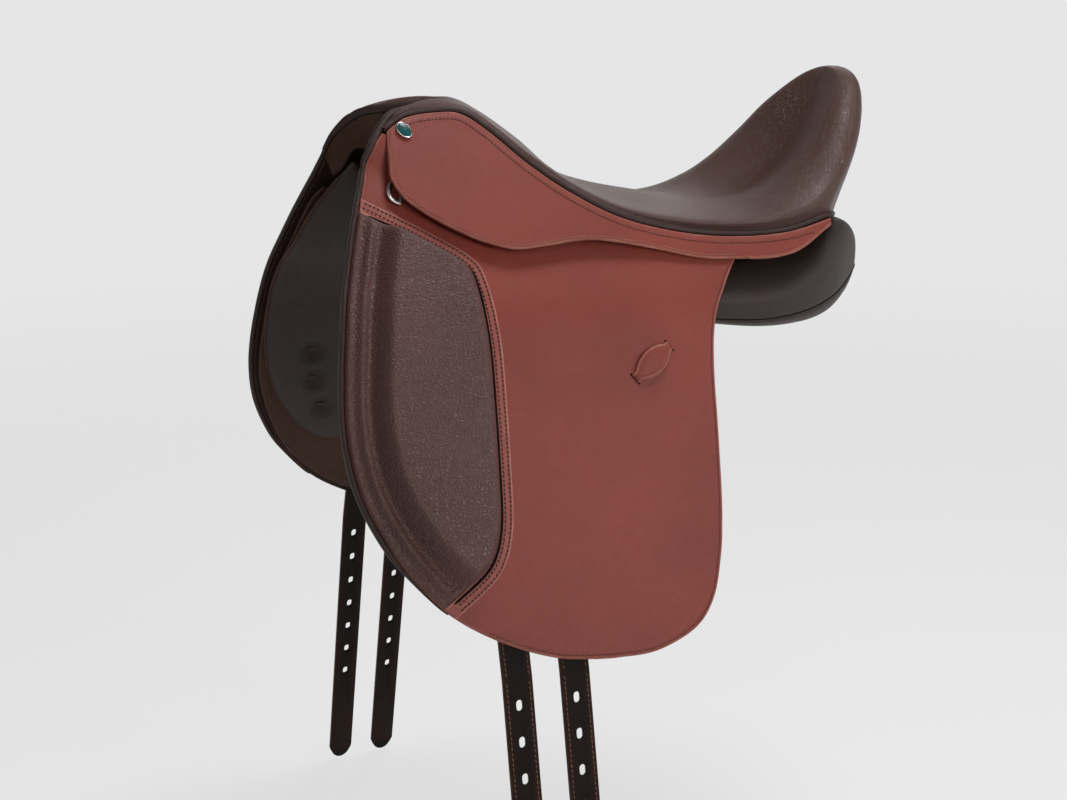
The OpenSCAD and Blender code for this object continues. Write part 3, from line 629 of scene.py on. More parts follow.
def seat_grid():
    seam = np.vstack([off_seam(2 * PIPING_R + 2 * GAP), SEAM_BACK])
    s, b, r = [to_centre(line, SEAT_STEPS)[:, None] for line in (seam, SEAT_SIDE, SEAT_RIM)]
    c = curve(SEAT_MID, SEAT_STEPS)[:, None]
    m = r * MIRROR
    t = (np.arange(RIB_STEPS) / RIB_STEPS)[None, :, None]
    half = np.concatenate([spline(2 * s - b, s, b, r, t), spline(s, b, r, c, t), spline(b, r, c, m, t), c], 1)
    return with_mirror(half)


SEAT = seat_grid()
SEAT_OUT = np.cross(np.gradient(SEAT, axis=0), np.gradient(SEAT, axis=1))
SEAT_OUT = SEAT_OUT / np.maximum(np.linalg.norm(SEAT_OUT, axis=2), 1e-9)[..., None]
SEAT_OUT = SEAT_OUT * np.sign(SEAT_OUT[len(SEAT) // 2, SEAT.shape[1] // 2, 2])


def sunk(depth):
    return SEAT - SEAT_OUT * np.asarray(depth)[..., None]


# Foam: its depth at the seam and the side, and its share at both ends, with the guide points where it thins
FOAM_SEAM = 2.5
FOAM_EDGE = 6.0
FOAM_FRONT = 0.4
FRONT_POINTS = (3, 6)
FOAM_REAR = 0.2
REAR_POINTS = (11.5, 14)
FOAM_LAP = 0.3
SEAT_WEB_T = 1.8


def foam_depth():
    """Depth of the foam: thin at the seams, full in the middle, and thinner at both ends."""
    rows, cols = SEAT.shape[:2]
    across = np.minimum(np.arange(cols), cols - 1 - np.arange(cols)) / RIB_STEPS
    outside = FOAM_SEAM + (FOAM_EDGE - FOAM_SEAM) * across
    inside = FOAM_EDGE + (FOAM_H - FOAM_EDGE) * (across - 1) / 2
    along = np.arange(rows) / SEAT_STEPS
    front = FOAM_FRONT + (1 - FOAM_FRONT) * ease(along, *FRONT_POINTS)
    rear = 1 - (1 - FOAM_REAR) * ease(along, *REAR_POINTS)
    return np.where(across < 1, outside, inside)[None, :] * (front * rear)[:, None]


def make_seat():
    cover = slab("seat", sunk(0), sunk(COVER_T), SEAT_LOOK)
    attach(cover, "saddle")
    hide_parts("seat_cover")
    floor = COVER_T + GAP + foam_depth()
    foam = slab("seat_padding", sunk(COVER_T + 1.5 * GAP), sunk(floor + FOAM_LAP), FOAM_LOOK)
    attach(foam, "saddle")
    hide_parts("seat_foam")
    middle = SEAT.shape[1] // 2
    span = slice(middle - RIB_STEPS // 3, middle + RIB_STEPS // 3 + 1)
    rows = slice(9 * SEAT_STEPS // 2, 25 * SEAT_STEPS // 2 + 1)
    web_top = sunk(floor + GAP)[rows, span]
    web_low = sunk(floor + GAP + SEAT_WEB_T)[rows, span]
    web = slab("seat_web", web_top, web_low, WEB_LOOK)
    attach(web, "saddle")
    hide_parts("seat_webbing")


# Roll round the cut-back front of the pommel and down both front edges, and the lining under the head
ROLL_R = PIPING_R + 1.4
BINDING_R = PIPING_R + 0.5
ROLL_DOWN = [[-279, 139, 3], [-271, 152, 9]]
LINING_BACK = [[-258, -46, 120], [-242, -40, 117], [-222, -32, 109], [-200, -20, 99], [-186, -8, 95],
               [-182, 0, 94]]
LINING_LOW = [[-272, 122, -10], [-266, 132, -12]]
LINING_T = 1.6
ROLL_SUNK = 1.5
ROLL_EASE = 12
HEAD_STEP = 6
WELT_R = PIPING_R * 1.1
WELT_END = PIPING_R * 1.8
WELT_DROP = PIPING_R * 0.5


def both_sides(line, low):
    """A line over the head, with the left side's lower points at both of its ends."""
    low = np.array([on_side([x, v], n) for x, v, n in low])
    return np.vstack([low, line, low[::-1] * MIRROR])


def make_head():
    ahead = unit(np.cross(np.gradient(SEAT[0], axis=0), SEAT_OUT[0]))
    ahead = ahead * np.sign(np.sum(ahead * (SEAT[0] - SEAT[1]), 1))[:, None]
    path = SEAT[0] + ahead * (ROLL_R + 2 * GAP) - SEAT_OUT[0] * ROLL_SUNK
    line = curve(both_sides(path[::HEAD_STEP], ROLL_DOWN), HEAD_STEP)
    row = np.arange(len(line))
    thick = BINDING_R + (ROLL_R - BINDING_R) * ease(np.minimum(row, row[::-1]), 0, ROLL_EASE)
    roll = tube("pommel_edge", line, thick, EDGE_LOOK, sides=16)
    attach(roll, "saddle")
    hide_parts("pommel_roll")
    ends = with_mirror(curve(LINING_BACK, 12))
    spot = np.linspace(0, len(ends) - 1, len(path))
    ends = read_at(spot, np.arange(len(ends)), ends)
    below = [[x, v, n - ROLL_R - GAP] for x, v, n in ROLL_DOWN]
    start = curve(both_sides((path + (1, 0, -ROLL_R - GAP))[::HEAD_STEP], below), HEAD_STEP)
    ends = curve(both_sides(ends[::HEAD_STEP], LINING_LOW), HEAD_STEP)
    rows = start + (ends - start) * np.linspace(0, 1, 12)[:, None, None]
    lining = slab("head_lining_leather", rows + (LINING_T, 0, 0), rows, LINING_LOOK)
    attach(lining, "saddle")
    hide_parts("head_lining")


def make_welt(label, side):
    off = np.full(len(SKIRT_SEAM), PIPING_R + GAP)
    off[-1] = WELT_END
    path = np.vstack([off_seam(off), np.array(SEAM_BACK) - (0, 0, WELT_DROP)])
    welt = tube(f"seat_piping_{label}", curve(path, 6), WELT_R, EDGE_LOOK, side)
    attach(welt, "saddle")
    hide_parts(f"seat_welt_{label}")


# Steps between the points of an outline
STEPS = 8

# Skirt and its lobe, which share one surface and part along the fold
SKIRT_LOW = [[-261, 121], [-252, 119], [-226, 112], [-204, 106], [-178, 98], [-146, 89], [-110, 79],
             [-68, 67], [-13, 51], [42, 35], [91, 38], [133, 62]]
LOBE_X = [-261, -254, -243, -222, -196, -170, -143, -116, -91, -46, -2, 30, 42]
LOBE_LOW = [[-260, 119], [-257, 110], [-248, 97], [-226, 79], [-195, 61], [-167, 52], [-141, 53],
            [-114, 56], [-90, 56], [-45, 48], [-1, 38], [28, 35.5], [43, 35]]
LOBE_GAP = 0.4
SEAM_ROW = 7


def skirt_level(q):
    return skirt_n(q[..., 0])


def make_skirt(label, side):
    seam = curve(SKIRT_SEAM, STEPS)
    low = over_fold(curve(SKIRT_LOW, STEPS))
    lobe_top = curve([[x, fold_at(x)] for x in LOBE_X], STEPS)
    lobe_low = under_fold(curve(LOBE_LOW, STEPS), LOBE_GAP)
    rear_low = low[low[:, 1] > fold_at(low[:, 0]) + 0.01]
    free = [seam, rear_low, np.array([seam[0], low[0]])]
    skirt = leather(f"skirt_leather_{label}", seam, low, skirt_level, SKIRT_T, free, side, FLAP_LOOK)
    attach(skirt, "saddle")
    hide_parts(f"skirt_{label}")
    lobe = leather(f"skirt_front_{label}", lobe_top, lobe_low, skirt_level, SKIRT_T, [lobe_low], side,
                   FLAP_LOOK)
    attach(lobe, f"skirt_{label}")
    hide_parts(f"skirt_lobe_{label}")
    row = shifted(seam, -SEAM_ROW)[6:-4]
    thread = sew_side(f"skirt_stitches_{label}", row, skirt_level(row) + SKIRT_T, FLAP_THREAD, side,
                      length=2.0, radius=0.5)
    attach(thread, "saddle")
    row = shifted(lobe_low, EDGE_ROW)[10:-6]
    thread = sew_side(f"skirt_front_stitches_{label}", row, skirt_level(row) + SKIRT_T, PALE_THREAD, side,
                      pitch=2.8, length=2.0, radius=0.4)
    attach(thread, f"skirt_{label}")


# Oval stud: a steel rim and a dome of enamel, as shares of its half sizes and heights
STUD_AT = np.array([-243, 162])
STUD_TURN = math.radians(-56)
STUD_L = 8
STUD_H = 5.6
STUD_N = LOBE_N + SKIRT_T
RIM_PROFILE = [[0.05, 0.3], [0.94, 0.3], [1.0, 0.8], [1.0, 1.7], [0.97, 2.3], [0.92, 2.5], [0.87, 2.35],
               [0.85, 1.9], [0.05, 1.7]]
DOME_PROFILE = [[0.05, 1.75], [0.86, 1.75], [0.87, 2.0], [0.77, 2.3], [0.55, 2.55], [0.28, 2.7], [0.05, 2.75]]


def oval_rings(profile):
    q = np.linspace(0, 2 * math.pi, 49)[:-1]
    flat = turned(np.stack([STUD_L * np.cos(q), STUD_H * np.sin(q)], 1), STUD_TURN)
    return np.stack([on_side(STUD_AT + flat * share, STUD_N + n) for share, n in profile])


def make_stud(label, side):
    rim = loft(f"stud_rim_{label}", oval_rings(RIM_PROFILE), STEEL_LOOK, side)
    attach(rim, "saddle")
    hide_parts(f"saddle_stud_{label}")
    dome = loft(f"stud_enamel_{label}", oval_rings(DOME_PROFILE), ENAMEL_LOOK, side)
    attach(dome, "saddle")


# Flap, with its part above the fold, which shows ahead of the skirt and runs on under it
FLAP_FRONT = [[-280, 126], [-288, 101], [-296, 75], [-304, 45], [-312, 12], [-320, -40], [-323, -80],
              [-321, -112], [-315, -140], [-303, -169], [-287, -197], [-256, -234], [-216, -261],
              [-172, -279], [-136, -285]]
FLAP_REAR = [[34, 36], [26, 24], [17, 9], [8, -8], [2, -30], [-2, -64], [-4, -100], [-6, -130],
             [-8, -158], [-11, -186], [-16, -214], [-27, -248], [-47, -271], [-84, -285], [-122, -286]]
FLAP_HEAD = [[-261, 162], [-266, 156], [-271, 149], [-276, 141], [-279, 134]]
FLAP_STRIP = [9.0, 7.5, 6.0, 4.0, 2.0]
TIP_POINT = 11
BINDING_TOP = [[-274, 147.5], [-277.5, 140], [-280, 132]]
BINDING_TOP_N = [6.5, 3.5, 2.2]
FLAP_RISE = 9
FLAP_RISE_V = (6, 36)
FLAP_RISE_X = (-262, -232)
STRIP_REAR_X = 28
SLIM_R = 0.8
SLIM_ROWS = 16


def fold_point(x, off):
    """The pattern point on the fold at x, moved off at right angles to it, upwards."""
    return np.array([x + off * math.sin(FOLD_A), fold_at(x) + off * math.cos(FOLD_A)])


def flap_level(q):
    """The flap lies on its layer, and rises to the skirt at its upper front corner."""
    above = q[..., 1] - fold_at(q[..., 0])
    return FLAP_RISE * ease(above, *FLAP_RISE_V) * (1 - ease(q[..., 0], *FLAP_RISE_X))


def make_flap(label, side):
    front = under_fold(curve(FLAP_FRONT, STEPS))
    rear = under_fold(curve(FLAP_REAR, STEPS))
    a = np.vstack([FLAP_HEAD, front])
    b = np.vstack([[fold_point(STRIP_REAR_X, off) for off in FLAP_STRIP], rear])
    bottom = np.array([front[-1], rear[-1]])
    flap = leather(f"flap_leather_{label}", a, b, flap_level, FLAP_T, [a, rear, bottom], side, FLAP_LOOK,
                   cols=40, back=BACK_LOOK)
    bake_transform(flap)
    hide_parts(f"flap_top_{label}", f"flap_{label}")
    tip = STEPS * TIP_POINT
    edge = front[4 : tip + 1]
    slim = SLIM_R + (BINDING_R - SLIM_R) * ease(np.arange(len(edge))[::-1], 0, SLIM_ROWS)
    line = np.vstack([BINDING_TOP, shifted(edge, -slim * 0.5)])
    level = np.concatenate([BINDING_TOP_N, np.full(len(edge), FLAP_T / 2)])
    thick = np.concatenate([np.full(len(BINDING_TOP), BINDING_R), slim])
    welt = tube(f"flap_piping_{label}", on_side(line, level), thick, EDGE_LOOK, side)
    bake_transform(welt)
    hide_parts(f"flap_welt_{label}")
    row = np.vstack([shifted(front, EDGE_ROW)[tip + 6:-2], shifted(rear, -EDGE_ROW)[-2:4:-1]])
    thread = sew_side(f"flap_stitches_{label}", row, FLAP_T - SUNK, FLAP_THREAD, side, pitch=2.9, length=1.7)
    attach(thread, f"flap_{label}")


# Knee block: a stitched rim on the flap's edge, a low roll, then the block itself in its border
RIM_ROWS = slice(10, 88)
RIM_IN = 0.9
BORDER_LINE = [[-285.5, 107.5], [-280, 104], [-262, 93], [-234, 75], [-204, 53], [-193, 33], [-188, -20],
               [-189, -72], [-192, -134], [-195, -170], [-203, -197], [-217, -215], [-249, -237.6]]
BORDER_X = -287.8
BORDER_TIP = [[-259.3, -229.3], [-250.3, -238.2]]
KNEE_N = FLAP_T + GAP
RIM_T = 3.0
STITCH_IN = 5.2
# Ridges of the rim: rise, distance from the front and width
BEAD = (1.2, 2.2, 1.1)
ROLL = (4.8, 12.5, 4.2)
STEP = (16.0, 35.0)
KNEE_EDGE = 1.2
KNEE_WEAR = 1.6
# Dark cord in the crease behind the block, painted shade where the crease's shadow falls: its distance in,
# and the rows where that grows and shrinks
CORD_IN = 0.9
CORD_MORE = 3.0
MORE_ROWS = (0, 12)
CORD_LESS = 0.9
LESS_ROWS = (22, 30)
CORD_UP = 0.8
CORD_R = 1.2
KNEE_ROUND = 9.0
BORDER_W = 12.5
BORDER_T = 1.5
BORDER_ROWS = (2.4, 7.0)
BORDER_GAP = 0.5
SUNK = 0.1


def make_knee(label, side):
    front = shifted(curve(FLAP_FRONT, STEPS), RIM_IN)[RIM_ROWS]
    outer = curve(BORDER_LINE, STEPS)
    rear = resampled(shifted(outer, -BORDER_W - BORDER_GAP)[STEPS:], len(front))
    q = ruled(front, rear, 70)
    from_front = distance(q, [front])
    from_rear = distance(q, [rear])
    rim = RIM_T * rounded(np.minimum(from_front, from_rear), KNEE_EDGE)
    rise = hump(from_front, *BEAD) + hump(from_front, *ROLL) + (KNEE_H + 1) * ease(from_front, *STEP)
    height = rim + rise * rounded(from_rear, KNEE_ROUND)
    block = slab(f"knee_pad_{label}", on_side(q, KNEE_N + height), on_side(q, KNEE_N), BLOCK_LOOK,
                 np.clip(1 - from_front / KNEE_WEAR, 0, 1), side)
    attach(block, f"flap_{label}")
    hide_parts(f"knee_block_{label}")
    row = shifted(front, STITCH_IN)[5:-8]
    thread = sew_side(f"knee_stitches_{label}", row, KNEE_N + RIM_T, DARK_THREAD, side, pitch=2.8, length=1.7)
    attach(thread, f"flap_{label}")
    row = np.arange(len(rear))
    off = CORD_IN + CORD_MORE * ease(row, *MORE_ROWS) - CORD_LESS * ease(row, *LESS_ROWS)
    path = on_side(shifted(rear, off)[1:-1], KNEE_N + CORD_UP)
    # A near-black cord along the block's rear foot: painted shade of the crease
    crease_shadow_cord = tube(f"knee_crease_shadow_{label}", path, CORD_R, SHADE_AND_SEAM_LOOK, side, sides=8)
    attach(crease_shadow_cord, f"flap_{label}")
    inner = shifted(outer, -BORDER_W)
    inner[:, 0] = np.maximum(inner[:, 0], BORDER_X)
    inner = np.vstack([inner, BORDER_TIP[:1]])
    outer = np.vstack([outer, BORDER_TIP[1:]])
    border = leather(f"knee_border_{label}", inner, outer, FLAP_T - SUNK, BORDER_T, [inner, outer], side,
                     BAND_LOOK, cols=8)
    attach(border, f"flap_{label}")
    for number, off in enumerate(BORDER_ROWS):
        row = shifted(outer[:-1], -off)[6:-1]
        thread = sew_side(f"border_stitches_{number}_{label}", row, FLAP_T + BORDER_T - 2 * SUNK, FLAP_THREAD,
                          side, pitch=3.6, length=2.0, radius=0.75)
        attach(thread, f"flap_{label}")


# Keeper for the stirrup leather's end: a pointed oval whose ends pass through two slits, each drawn as a dark
# cord of painted shade
KEEPER_AT = np.array([-58, -48])
KEEPER_TURN = math.radians(37)
KEEPER_R = 28
KEEPER_OFF = 17.3
KEEPER_HALF = 22
KEEPER_RISE = 4.0
TAB_HALF = 4.4
KEEPER_T = 2.2
KEEPER_SUNK = 1.6
SLIT_PAST = 1.6
SLIT_IN = 0.6
SLIT_R = 1.0


def keeper_place(points):
    return KEEPER_AT + turned(points, KEEPER_TURN)


def keeper_level(q):
    along = np.linalg.norm(q - KEEPER_AT, axis=-1) / KEEPER_HALF
    return FLAP_T - KEEPER_SUNK + KEEPER_RISE * np.sqrt(np.clip(1 - along**2, 0, 1))


def make_keeper(label, side):
    along = np.linspace(-KEEPER_HALF, KEEPER_HALF, 60)
    half = np.maximum(np.sqrt(KEEPER_R**2 - along**2) - KEEPER_OFF, TAB_HALF)
    a = keeper_place(np.stack([along, half], 1))
    b = keeper_place(np.stack([along, -half], 1))
    tab = leather(f"keeper_leather_{label}", a, b, keeper_level, KEEPER_T, [a, b], side, FLAP_LOOK, cols=12)
    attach(tab, f"flap_{label}")
    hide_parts(f"keeper_{label}")
    for number, end in enumerate((-1, 1)):
        line = np.linspace(-TAB_HALF - SLIT_PAST, TAB_HALF + SLIT_PAST, 16)
        flat = keeper_place(np.stack([np.full(16, end * (KEEPER_HALF - SLIT_IN)), line], 1))
        path = on_side(flat, FLAP_T - SUNK)
        # Near-black cord across the slit: painted shade in the slit
        slit_shadow_cord = tube(f"keeper_slit_shadow_{number}_{label}", path, SLIT_R, SHADE_AND_SEAM_LOOK, side, sides=8)
        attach(slit_shadow_cord, f"flap_{label}")


# Sweat flap
SWEAT_FRONT = [[-278, 108], [-288, 92], [-299, 50], [-310, 5], [-317, -46], [-318, -105], [-300, -166],
               [-268, -213], [-214, -252], [-140, -275]]
SWEAT_REAR = [[10, 30], [5, 22], [-2, 2], [-8, -22], [-11, -60], [-14, -110], [-18, -170], [-30, -224],
              [-66, -262], [-122, -276]]
SWEAT_ROW = 6


def make_sweat(label, side):
    front = curve(SWEAT_FRONT, 10)
    rear = curve(SWEAT_REAR, 10)
    free = [front, rear, np.array([front[0], rear[0]]), np.array([front[-1], rear[-1]])]
    flap = leather(f"sweat_leather_{label}", front, rear, SWEAT_N, SWEAT_T, free, side, LINING_LOOK)
    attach(flap, "saddle")
    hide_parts(f"sweat_flap_{label}")
    row = shifted(front, SWEAT_ROW)[4:-2]
    path = on_side(row, SWEAT_N)
    thread = sew(f"sweat_stitches_{label}", path, on_side(row, SWEAT_N - 1) - path, DARK_THREAD, side)
    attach(thread, "saddle")


# Front panel: padded, with three tufts, a piped edge and the pocket for the tree point
FORE_FRONT = [[-259, 143], [-274, 118], [-291, 83], [-303, 39], [-313, -10], [-315, -66], [-304, -117],
              [-278, -161], [-250, -182]]
FORE_REAR = [[-230, 126], [-220, 104], [-208, 74], [-196, 36], [-184, -10], [-178, -66], [-186, -117],
             [-206, -161], [-238, -183]]
TUFTS = np.array([[-272, -72], [-268, -104], [-258, -136]], float)
POCKET_FRONT = [[-258, 92], [-257, 75], [-253, 56], [-248, 46]]
POCKET_REAR = [[-222, 92], [-223, 75], [-227, 56], [-234, 46]]
POCKET_N = (1.9, 0.4)
PANEL_STEP = 8
PANEL_STEP_V = (20, 60)
FORE_MIN = 3
TUFT_R = 16
TUFT_DEEP = 0.5
TIE_DEEP = 0.46
FORE_PIPING_N = -1.6
FORE_PIPING_R = 1.7


def fore_base(q):
    return PANEL_N - PANEL_STEP * ease(q[..., 1], *PANEL_STEP_V)


def tuft_sink(q):
    return np.max([ease(1 - np.linalg.norm(q - c, axis=-1) / TUFT_R) for c in TUFTS], axis=0)


def fore_pad(q, u, t):
    round_u = np.maximum(0, np.sin(math.pi * u)) ** 0.6
    round_t = np.maximum(0, np.sin(math.pi * t)) ** 0.4
    return FORE_MIN + FORE_H * round_u * round_t * (1 - TUFT_DEEP * tuft_sink(q))


def make_front_panel(label, side):
    front = curve(FORE_FRONT, 10)
    rear = curve(FORE_REAR, 10)
    u = np.linspace(0, 1, 49)[None, :]
    t = np.linspace(0, 1, len(front))[:, None]
    q = front[:, None] + (rear - front)[:, None] * u[..., None]
    base = fore_base(q)
    low = on_side(q, base - fore_pad(q, u, t))
    panel = slab(f"front_pad_{label}", on_side(q, base), low, PANEL_LOOK, None, side)
    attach(panel, "saddle")
    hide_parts(f"front_panel_{label}")
    edge = np.vstack([front[6:], rear[-2:40:-1]])
    path = on_side(edge, fore_base(edge) + FORE_PIPING_N)
    cord = tube(f"front_pad_piping_{label}", path, FORE_PIPING_R, LINING_LOOK, side)
    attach(cord, "saddle")
    sink = fore_base(TUFTS) - FORE_MIN - FORE_H * TIE_DEEP
    for number, spot in enumerate(TUFTS):
        line = np.stack([np.linspace(-3, 3, 9) + spot[0], np.full(9, spot[1])], 1)
        tie = tube(f"tuft_tie_{number}_{label}", on_side(line, sink[number]), 0.9, DARK_THREAD, side, sides=8)
        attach(tie, "saddle")
    q = ruled(curve(POCKET_FRONT, 6), curve(POCKET_REAR, 6), 6)
    top, low = [on_side(q, fore_base(q) + n) for n in POCKET_N]
    pocket = slab(f"pocket_leather_{label}", top, low, LINING_LOOK, None, side)
    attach(pocket, "saddle")
    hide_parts(f"point_pocket_{label}")


# Rear panel: each station is x, distance out, height, half length, half depth and slope
PAD_STATIONS = [[-190, 68, 54, 32, 8, 52], [-150, 73, 39, 42, 13, 46], [-90, 79, 20, 46, 16, 36],
                [-20, 84, 8, 48, 20, 26], [56, 85, -3, 50, 25, 17], [104, 82, -2, 47, 31, 12],
                [140, 74, 4, 40, 36, 8], [168, 64, 11, 29, 33, 6], [186, 58, 15, 17, 21, 4],
                [193, 55, 15, 6, 8, 3]]
GUSSET_AT = (345, 200)
TOP_FILL = 0.25
FILL_X = (90, 140)
PAD_POWERS = (0.7, 0.75)
GUSSET_W = 5
GUSSET_DEEP = 0.07


def pad_points(stations, deg, grow=0.0):
    """Points round the panel's sections, for stations in rows and angles in columns."""
    s = stations[:, :, None]
    drawn = np.max([ease(1 - np.abs(deg - at) / GUSSET_W) for at in GUSSET_AT], axis=0)
    cos, sin = np.cos(np.radians(deg)), np.sin(np.radians(deg))
    fill = 1 + TOP_FILL * ease(s[:, 0], *FILL_X) * (sin > 0)
    a = (s[:, 3] + grow) * np.sign(cos) * np.abs(cos) ** PAD_POWERS[0] * (1 - GUSSET_DEEP * drawn)
    b = (s[:, 4] + grow) * np.sign(sin) * np.abs(sin) ** PAD_POWERS[1] * (1 - GUSSET_DEEP * drawn) * fill
    slope = np.radians(s[:, 5])
    out = np.maximum(CHANNEL, s[:, 1] + a * np.cos(slope) + b * np.sin(slope))
    up = s[:, 2] - a * np.sin(slope) + b * np.cos(slope)
    return np.stack([s[:, 0] + 0 * a, -out, up], -1)


def make_rear_panel(label, side):
    stations = curve(PAD_STATIONS, STEPS)
    rings = pad_points(stations, np.linspace(0, 360, 121)[None, :-1])
    panel = loft(f"rear_pad_{label}", rings, PANEL_LOOK, side)
    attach(panel, "saddle")
    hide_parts(f"rear_panel_{label}")
    for number, at in enumerate(GUSSET_AT):
        line = pad_points(stations[20:-6], np.array([[float(at)]]), 0.4)[:, 0]
        cord = tube(f"rear_pad_piping_{number}_{label}", line, 1.2, SHADE_AND_SEAM_LOOK, side, sides=8)
        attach(cord, "saddle")


# Strip that closes the channel, and the webs that carry the girth straps
STRIP_ENDS = (-151, 180)
STRIP_RISE = 12
STRIP_T = 2
SHOULDER = 150.0
WEB_OUTLINE = [[-216.5, 44], [-142.5, 44], [-148.5, 82], [-210.5, 94]]


def make_strip():
    stations = curve(PAD_STATIONS, STEPS)
    stations = stations[(stations[:, 0] > STRIP_ENDS[0]) & (stations[:, 0] < STRIP_ENDS[1])]
    edge = pad_points(stations, np.array([[SHOULDER]]))
    across = np.linspace(-1, 1, 21)[None, :]
    z = edge[..., 2] + GAP + STRIP_RISE * (1 - across**2)
    low = np.stack([edge[..., 0] + 0 * z, -edge[..., 1] * across, z], -1)
    strip = slab("channel_strip", low + (0, 0, STRIP_T), low, PANEL_LOOK)
    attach(strip, "saddle")
    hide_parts("gullet_strip")


def make_web(label, side):
    low_a, low_b, high_b, high_a = np.array(WEB_OUTLINE, float)
    t = np.linspace(0, 1, 12)[:, None]
    q = ruled(low_a + (high_a - low_a) * t, low_b + (high_b - low_b) * t, 10)
    web = slab(f"girth_webbing_{label}", on_side(q, STRAP_N + STRAP_T), on_side(q, STRAP_N), WEB_LOOK,
               None, side)
    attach(web, "saddle")
    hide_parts(f"girth_web_{label}")


# Girth straps: one length of leather, bent at the flap's lower edge
STRAP_W = 25
STRAP_X = {"front": -204, "rear": -155}
STRAP_TOP = 43.4
STRAP_V = -291
TAIL_A = math.radians(14)
TAIL_L = 318
POINT_L = 16
POINT_FLAT = 0.28
POINT_LIFT = 0.148
FIRST_HOLE = 22
HOLE_PITCH = 29.5
HOLES = 7
HOLE_W = 5.5
HOLE_L = 9
STRAP_EDGE = 0.8
STRAP_WEAR = 1.1
STRAP_ROW = 3
AXIS_N = -GAP - STRAP_T / 2
UPPER_L = STRAP_TOP - STRAP_V


def strap_place(x, across, along, off):
    """Points of a strap: across its width, down its length from the top, and off its middle."""
    upper = on_side(np.stack([x + across, STRAP_TOP - along], -1), AXIS_N + off)
    down = along - UPPER_L
    hinge = on_side(np.stack([x + across, np.full_like(across, STRAP_V)], -1), AXIS_N)
    drop = down * math.sin(TAIL_A) + off * math.cos(TAIL_A)
    fall = down * math.cos(TAIL_A) - off * math.sin(TAIL_A)
    tail = hinge - np.stack([math.sin(TOE) * drop, math.cos(TOE) * drop, fall], -1)
    return np.where((down > 0)[..., None], tail, upper)


def strap_outline():
    """The strap's flat outline and its holes, along y downwards from the top."""
    end = UPPER_L + TAIL_L
    q = np.linspace(-1, 1, 17)
    back = POINT_L * (POINT_FLAT + (1 - POINT_FLAT) * q**2) ** 1.5
    point = np.stack([STRAP_W / 2 * q, end - back + POINT_L * POINT_LIFT], 1)
    loops = [np.vstack([[[STRAP_W / 2, 0], [-STRAP_W / 2, 0]], point])]
    a = np.linspace(0, math.pi, 13)
    for k in range(HOLES):
        y = UPPER_L + FIRST_HOLE + k * HOLE_PITCH
        cap = (HOLE_L - HOLE_W) / 2
        first = np.stack([HOLE_W / 2 * np.cos(a), y + cap + HOLE_W / 2 * np.sin(a)], 1)
        second = np.stack([-HOLE_W / 2 * np.cos(a), y - cap - HOLE_W / 2 * np.sin(a)], 1)
        loops.append(np.vstack([first, second]))
    return loops


def strap_mesh(name):
    """The flat strap with holes and eased edges, cut across so that it can bend."""
    line = bpy.data.curves.new(name, "CURVE")
    line.dimensions = "2D"
    line.fill_mode = "BOTH"
    line.extrude = STRAP_T / 2 - STRAP_EDGE
    line.bevel_depth = STRAP_EDGE
    line.bevel_resolution = 2
    line.offset = -STRAP_EDGE
    for loop in strap_outline():
        path = line.splines.new("POLY")
        path.use_cyclic_u = True
        path.points.add(len(loop) - 1)
        flat = np.hstack([loop, np.zeros((len(loop), 1)), np.ones((len(loop), 1))])
        path.points.foreach_set("co", flat.ravel())
    holder = show(name, line)
    ready = holder.evaluated_get(bpy.context.evaluated_depsgraph_get())
    mesh = bpy.data.meshes.new_from_object(ready)
    bpy.data.objects.remove(holder)
    work = bmesh.new()
    work.from_mesh(mesh)
    bmesh.ops.remove_doubles(work, verts=work.verts, dist=1e-4)
    cuts = np.concatenate([np.arange(8, UPPER_L - 12, 8), np.arange(UPPER_L - 10, UPPER_L + 11, 2)])
    for y in cuts:
        whole = work.verts[:] + work.edges[:] + work.faces[:]
        bmesh.ops.bisect_plane(work, geom=whole, plane_co=(0, y, 0), plane_no=(0, 1, 0), dist=1e-5)
    bmesh.ops.triangulate(work, faces=[f for f in work.faces if len(f.verts) > 4])
    work.to_mesh(mesh)
    work.free()
    return mesh


def make_strap(which, label, side):
    x = STRAP_X[which]
    mesh = strap_mesh(f"strap_{which}_{label}")
    co = np.array([v.co for v in mesh.vertices], float)
    edge = np.minimum(STRAP_W / 2 - np.abs(co[:, 0]), UPPER_L + TAIL_L - co[:, 1])
    faces = [list(p.vertices) for p in mesh.polygons]
    points = strap_place(x, co[:, 0], co[:, 1], co[:, 2])
    bpy.data.meshes.remove(mesh)
    wear = np.clip(1 - edge / STRAP_WEAR, 0, 1)
    strap = piece(f"strap_{which}_{label}", points, faces, STRAP_LOOK, wear, side)
    tail = f"tail_{which}_{label}"
    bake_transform(strap)
    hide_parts(f"billet_{which}_{label}", f"billet_tail_{which}_{label}")
    spans = {"upper": (60, UPPER_L - 3, "saddle"), "lower": (UPPER_L + 3, UPPER_L + TAIL_L - 14, tail)}
    for part, (low, high, body) in spans.items():
        for number, edge_off in enumerate((-1, 1)):
            along = np.linspace(low, high, 90)
            across = np.full_like(along, edge_off * (STRAP_W / 2 - STRAP_ROW))
            path = strap_place(x, across, along, np.full_like(along, STRAP_T / 2))
            out = strap_place(x, across, along, np.full_like(along, STRAP_T / 2 + 1)) - path
            thread = sew(f"strap_{which}_{part}_stitches_{number}_{label}", path, out, STRAP_THREAD, side,
                         pitch=4.2, length=3.0, radius=0.38)
            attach(thread, body)


# Build every piece
make_seat()
make_head()
make_strip()
for label, side in SIDES.items():
    make_welt(label, side)
    make_skirt(label, side)
    make_stud(label, side)
    make_flap(label, side)
    make_knee(label, side)
    make_keeper(label, side)
    make_sweat(label, side)
    make_front_panel(label, side)
    make_rear_panel(label, side)
    make_web(label, side)
    for which in STRAP_X:
        make_strap(which, label, side)

